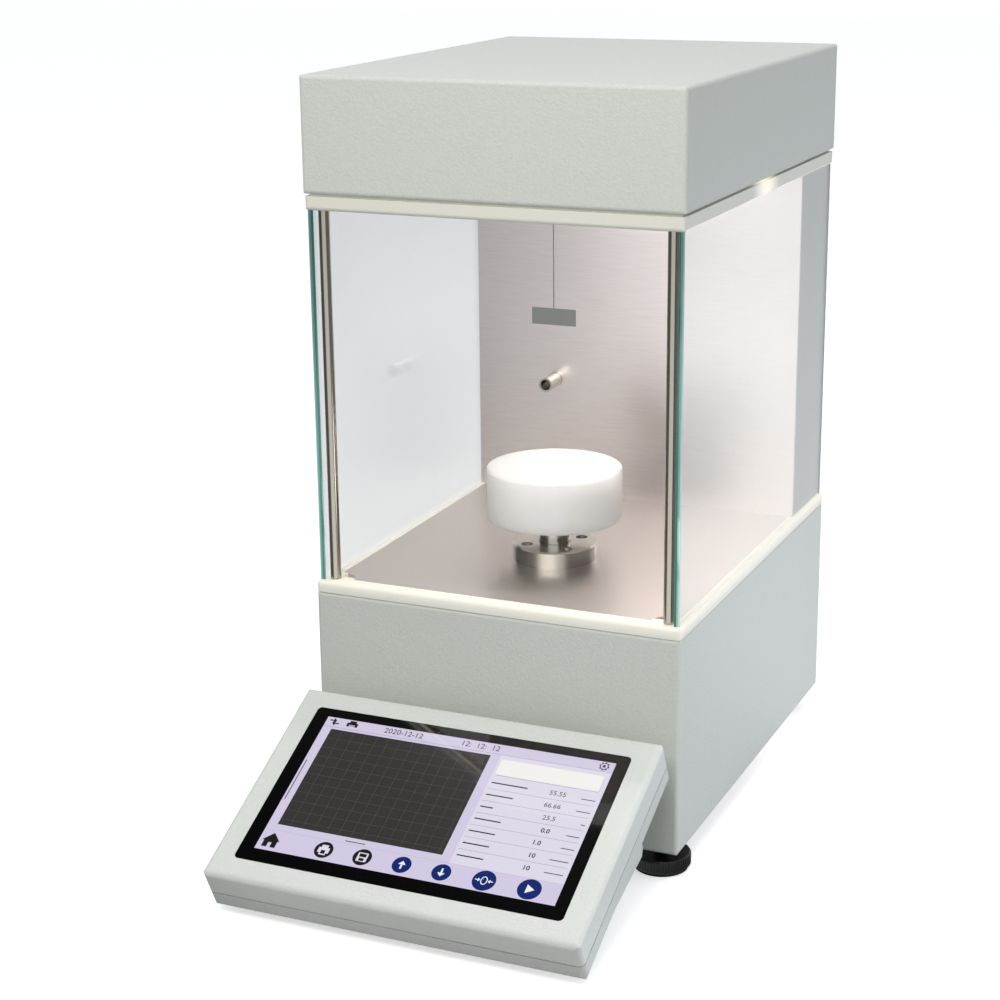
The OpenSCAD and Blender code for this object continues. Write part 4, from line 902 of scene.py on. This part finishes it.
floor_tone = blend_levels(
    floor_tree, 1.0, (mirrored, card_loss), (through_glass, card_loss), (soft_light, BOUNCE_LOSS))
toned(floor_tree, floor_shader, FLOOR_GREY, floor_tone)
floor_glow = blend_levels(floor_tree, 0.0, (by_camera, CAMERA_LIFT), (through_glass, GLASS_LIFT),
                          (mirrored, math_node(floor_tree, "MULTIPLY", floor_cards, MIRROR_LIFT)))
floor_tree.links.new(floor_glow, floor_shader.inputs["Emission Strength"])
floor.data.materials.append(floor_paint)

# %% World: LIGHT_LEVEL lights the object, 1 is white to the camera, and mirrors see a dark card above
LIGHT_LEVEL = 0.5
THROUGH_GLASS = 0.74
CARD_ABOVE = {"start": 0.6, "end": 0.8, "first": 1.0, "last": 0.06}
COOL_SKY = (0.95, 0.985, 1.05, 1.0)
world = bpy.data.worlds.new("studio")
world.use_nodes = True
bpy.context.scene.world = world
world_tree = world.node_tree
background = world_tree.nodes["Background"]
sky = add(world_tree, "ShaderNodeTexCoord").outputs["Generated"]
height = add(world_tree, "ShaderNodeSeparateXYZ", {0: sky}).outputs["Z"]
overhead = ramp_between(world_tree, height, **CARD_ABOVE)
by_camera, through_glass, mirrored, soft_light = ray_kinds(world_tree)
sky_cards = cards_seen(world_tree, sky)
in_mirror = math_node(world_tree, "MULTIPLY", sky_cards, overhead)
in_glass = math_node(world_tree, "MULTIPLY", sky_cards, THROUGH_GLASS)
strength = blend_levels(world_tree, LIGHT_LEVEL, (by_camera, 1 - LIGHT_LEVEL),
                        (through_glass, math_node(world_tree, "SUBTRACT", in_glass, LIGHT_LEVEL)),
                        (mirrored, math_node(world_tree, "SUBTRACT", in_mirror, LIGHT_LEVEL)))
world_tree.links.new(strength, background.inputs["Strength"])
cool = add(world_tree, "ShaderNodeMix", {"Factor": soft_light}, data_type="RGBA")
cool.inputs[6].default_value = (1.0, 1.0, 1.0, 1.0)
cool.inputs[7].default_value = COOL_SKY
world_tree.links.new(cool.outputs[2], background.inputs["Color"])

# %% Soft lamps: warm ones in front, cool ones behind and at the side
WARM = (1.0, 0.98, 0.88)
COOL = (0.92, 0.97, 1.04)


def soft_lamp(name, place, aim, size, power, colour):
    """A rectangular lamp whose face looks from its place to its aim."""
    lamp = bpy.data.lights.new(name, "AREA")
    lamp.shape = "RECTANGLE"
    lamp.color = colour
    lamp.size, lamp.size_y = size
    lamp.energy = power
    holder = bpy.data.objects.new(name, lamp)
    forward = np.array(aim, float) - np.array(place, float)
    forward /= np.linalg.norm(forward)
    side = np.cross(forward, (0, 0, 1))
    side /= np.linalg.norm(side)
    up = np.cross(side, forward)
    turn = np.stack([side, up, -forward], 1)
    holder.matrix_world = Matrix([[*turn[i], place[i]] for i in range(3)] + [[0, 0, 0, 1]])
    holder.visible_camera = False
    bpy.context.scene.collection.objects.link(holder)
    return holder


soft_lamp("front_top", (0.0, -0.9, 1.9), (0, 0, 0.3), (1.2, 0.8), 10.0, WARM)
soft_lamp("head_near", (0.05, -0.55, 0.56), (0, -0.06, 0.36), (0.4, 0.2), 1.15, WARM)
soft_lamp("back_top", (0.5, 0.7, 1.9), (0, 0, 0.3), (1.4, 1.4), 7.0, COOL)
side_lamp = soft_lamp("right_low", (0.42, 0.06, 0.05), (0.1, 0.06, 0.06), (0.5, 0.08), 0.54, COOL)
side_lamp.visible_transmission = False
bpy.context.scene.view_settings.view_transform = "Standard"
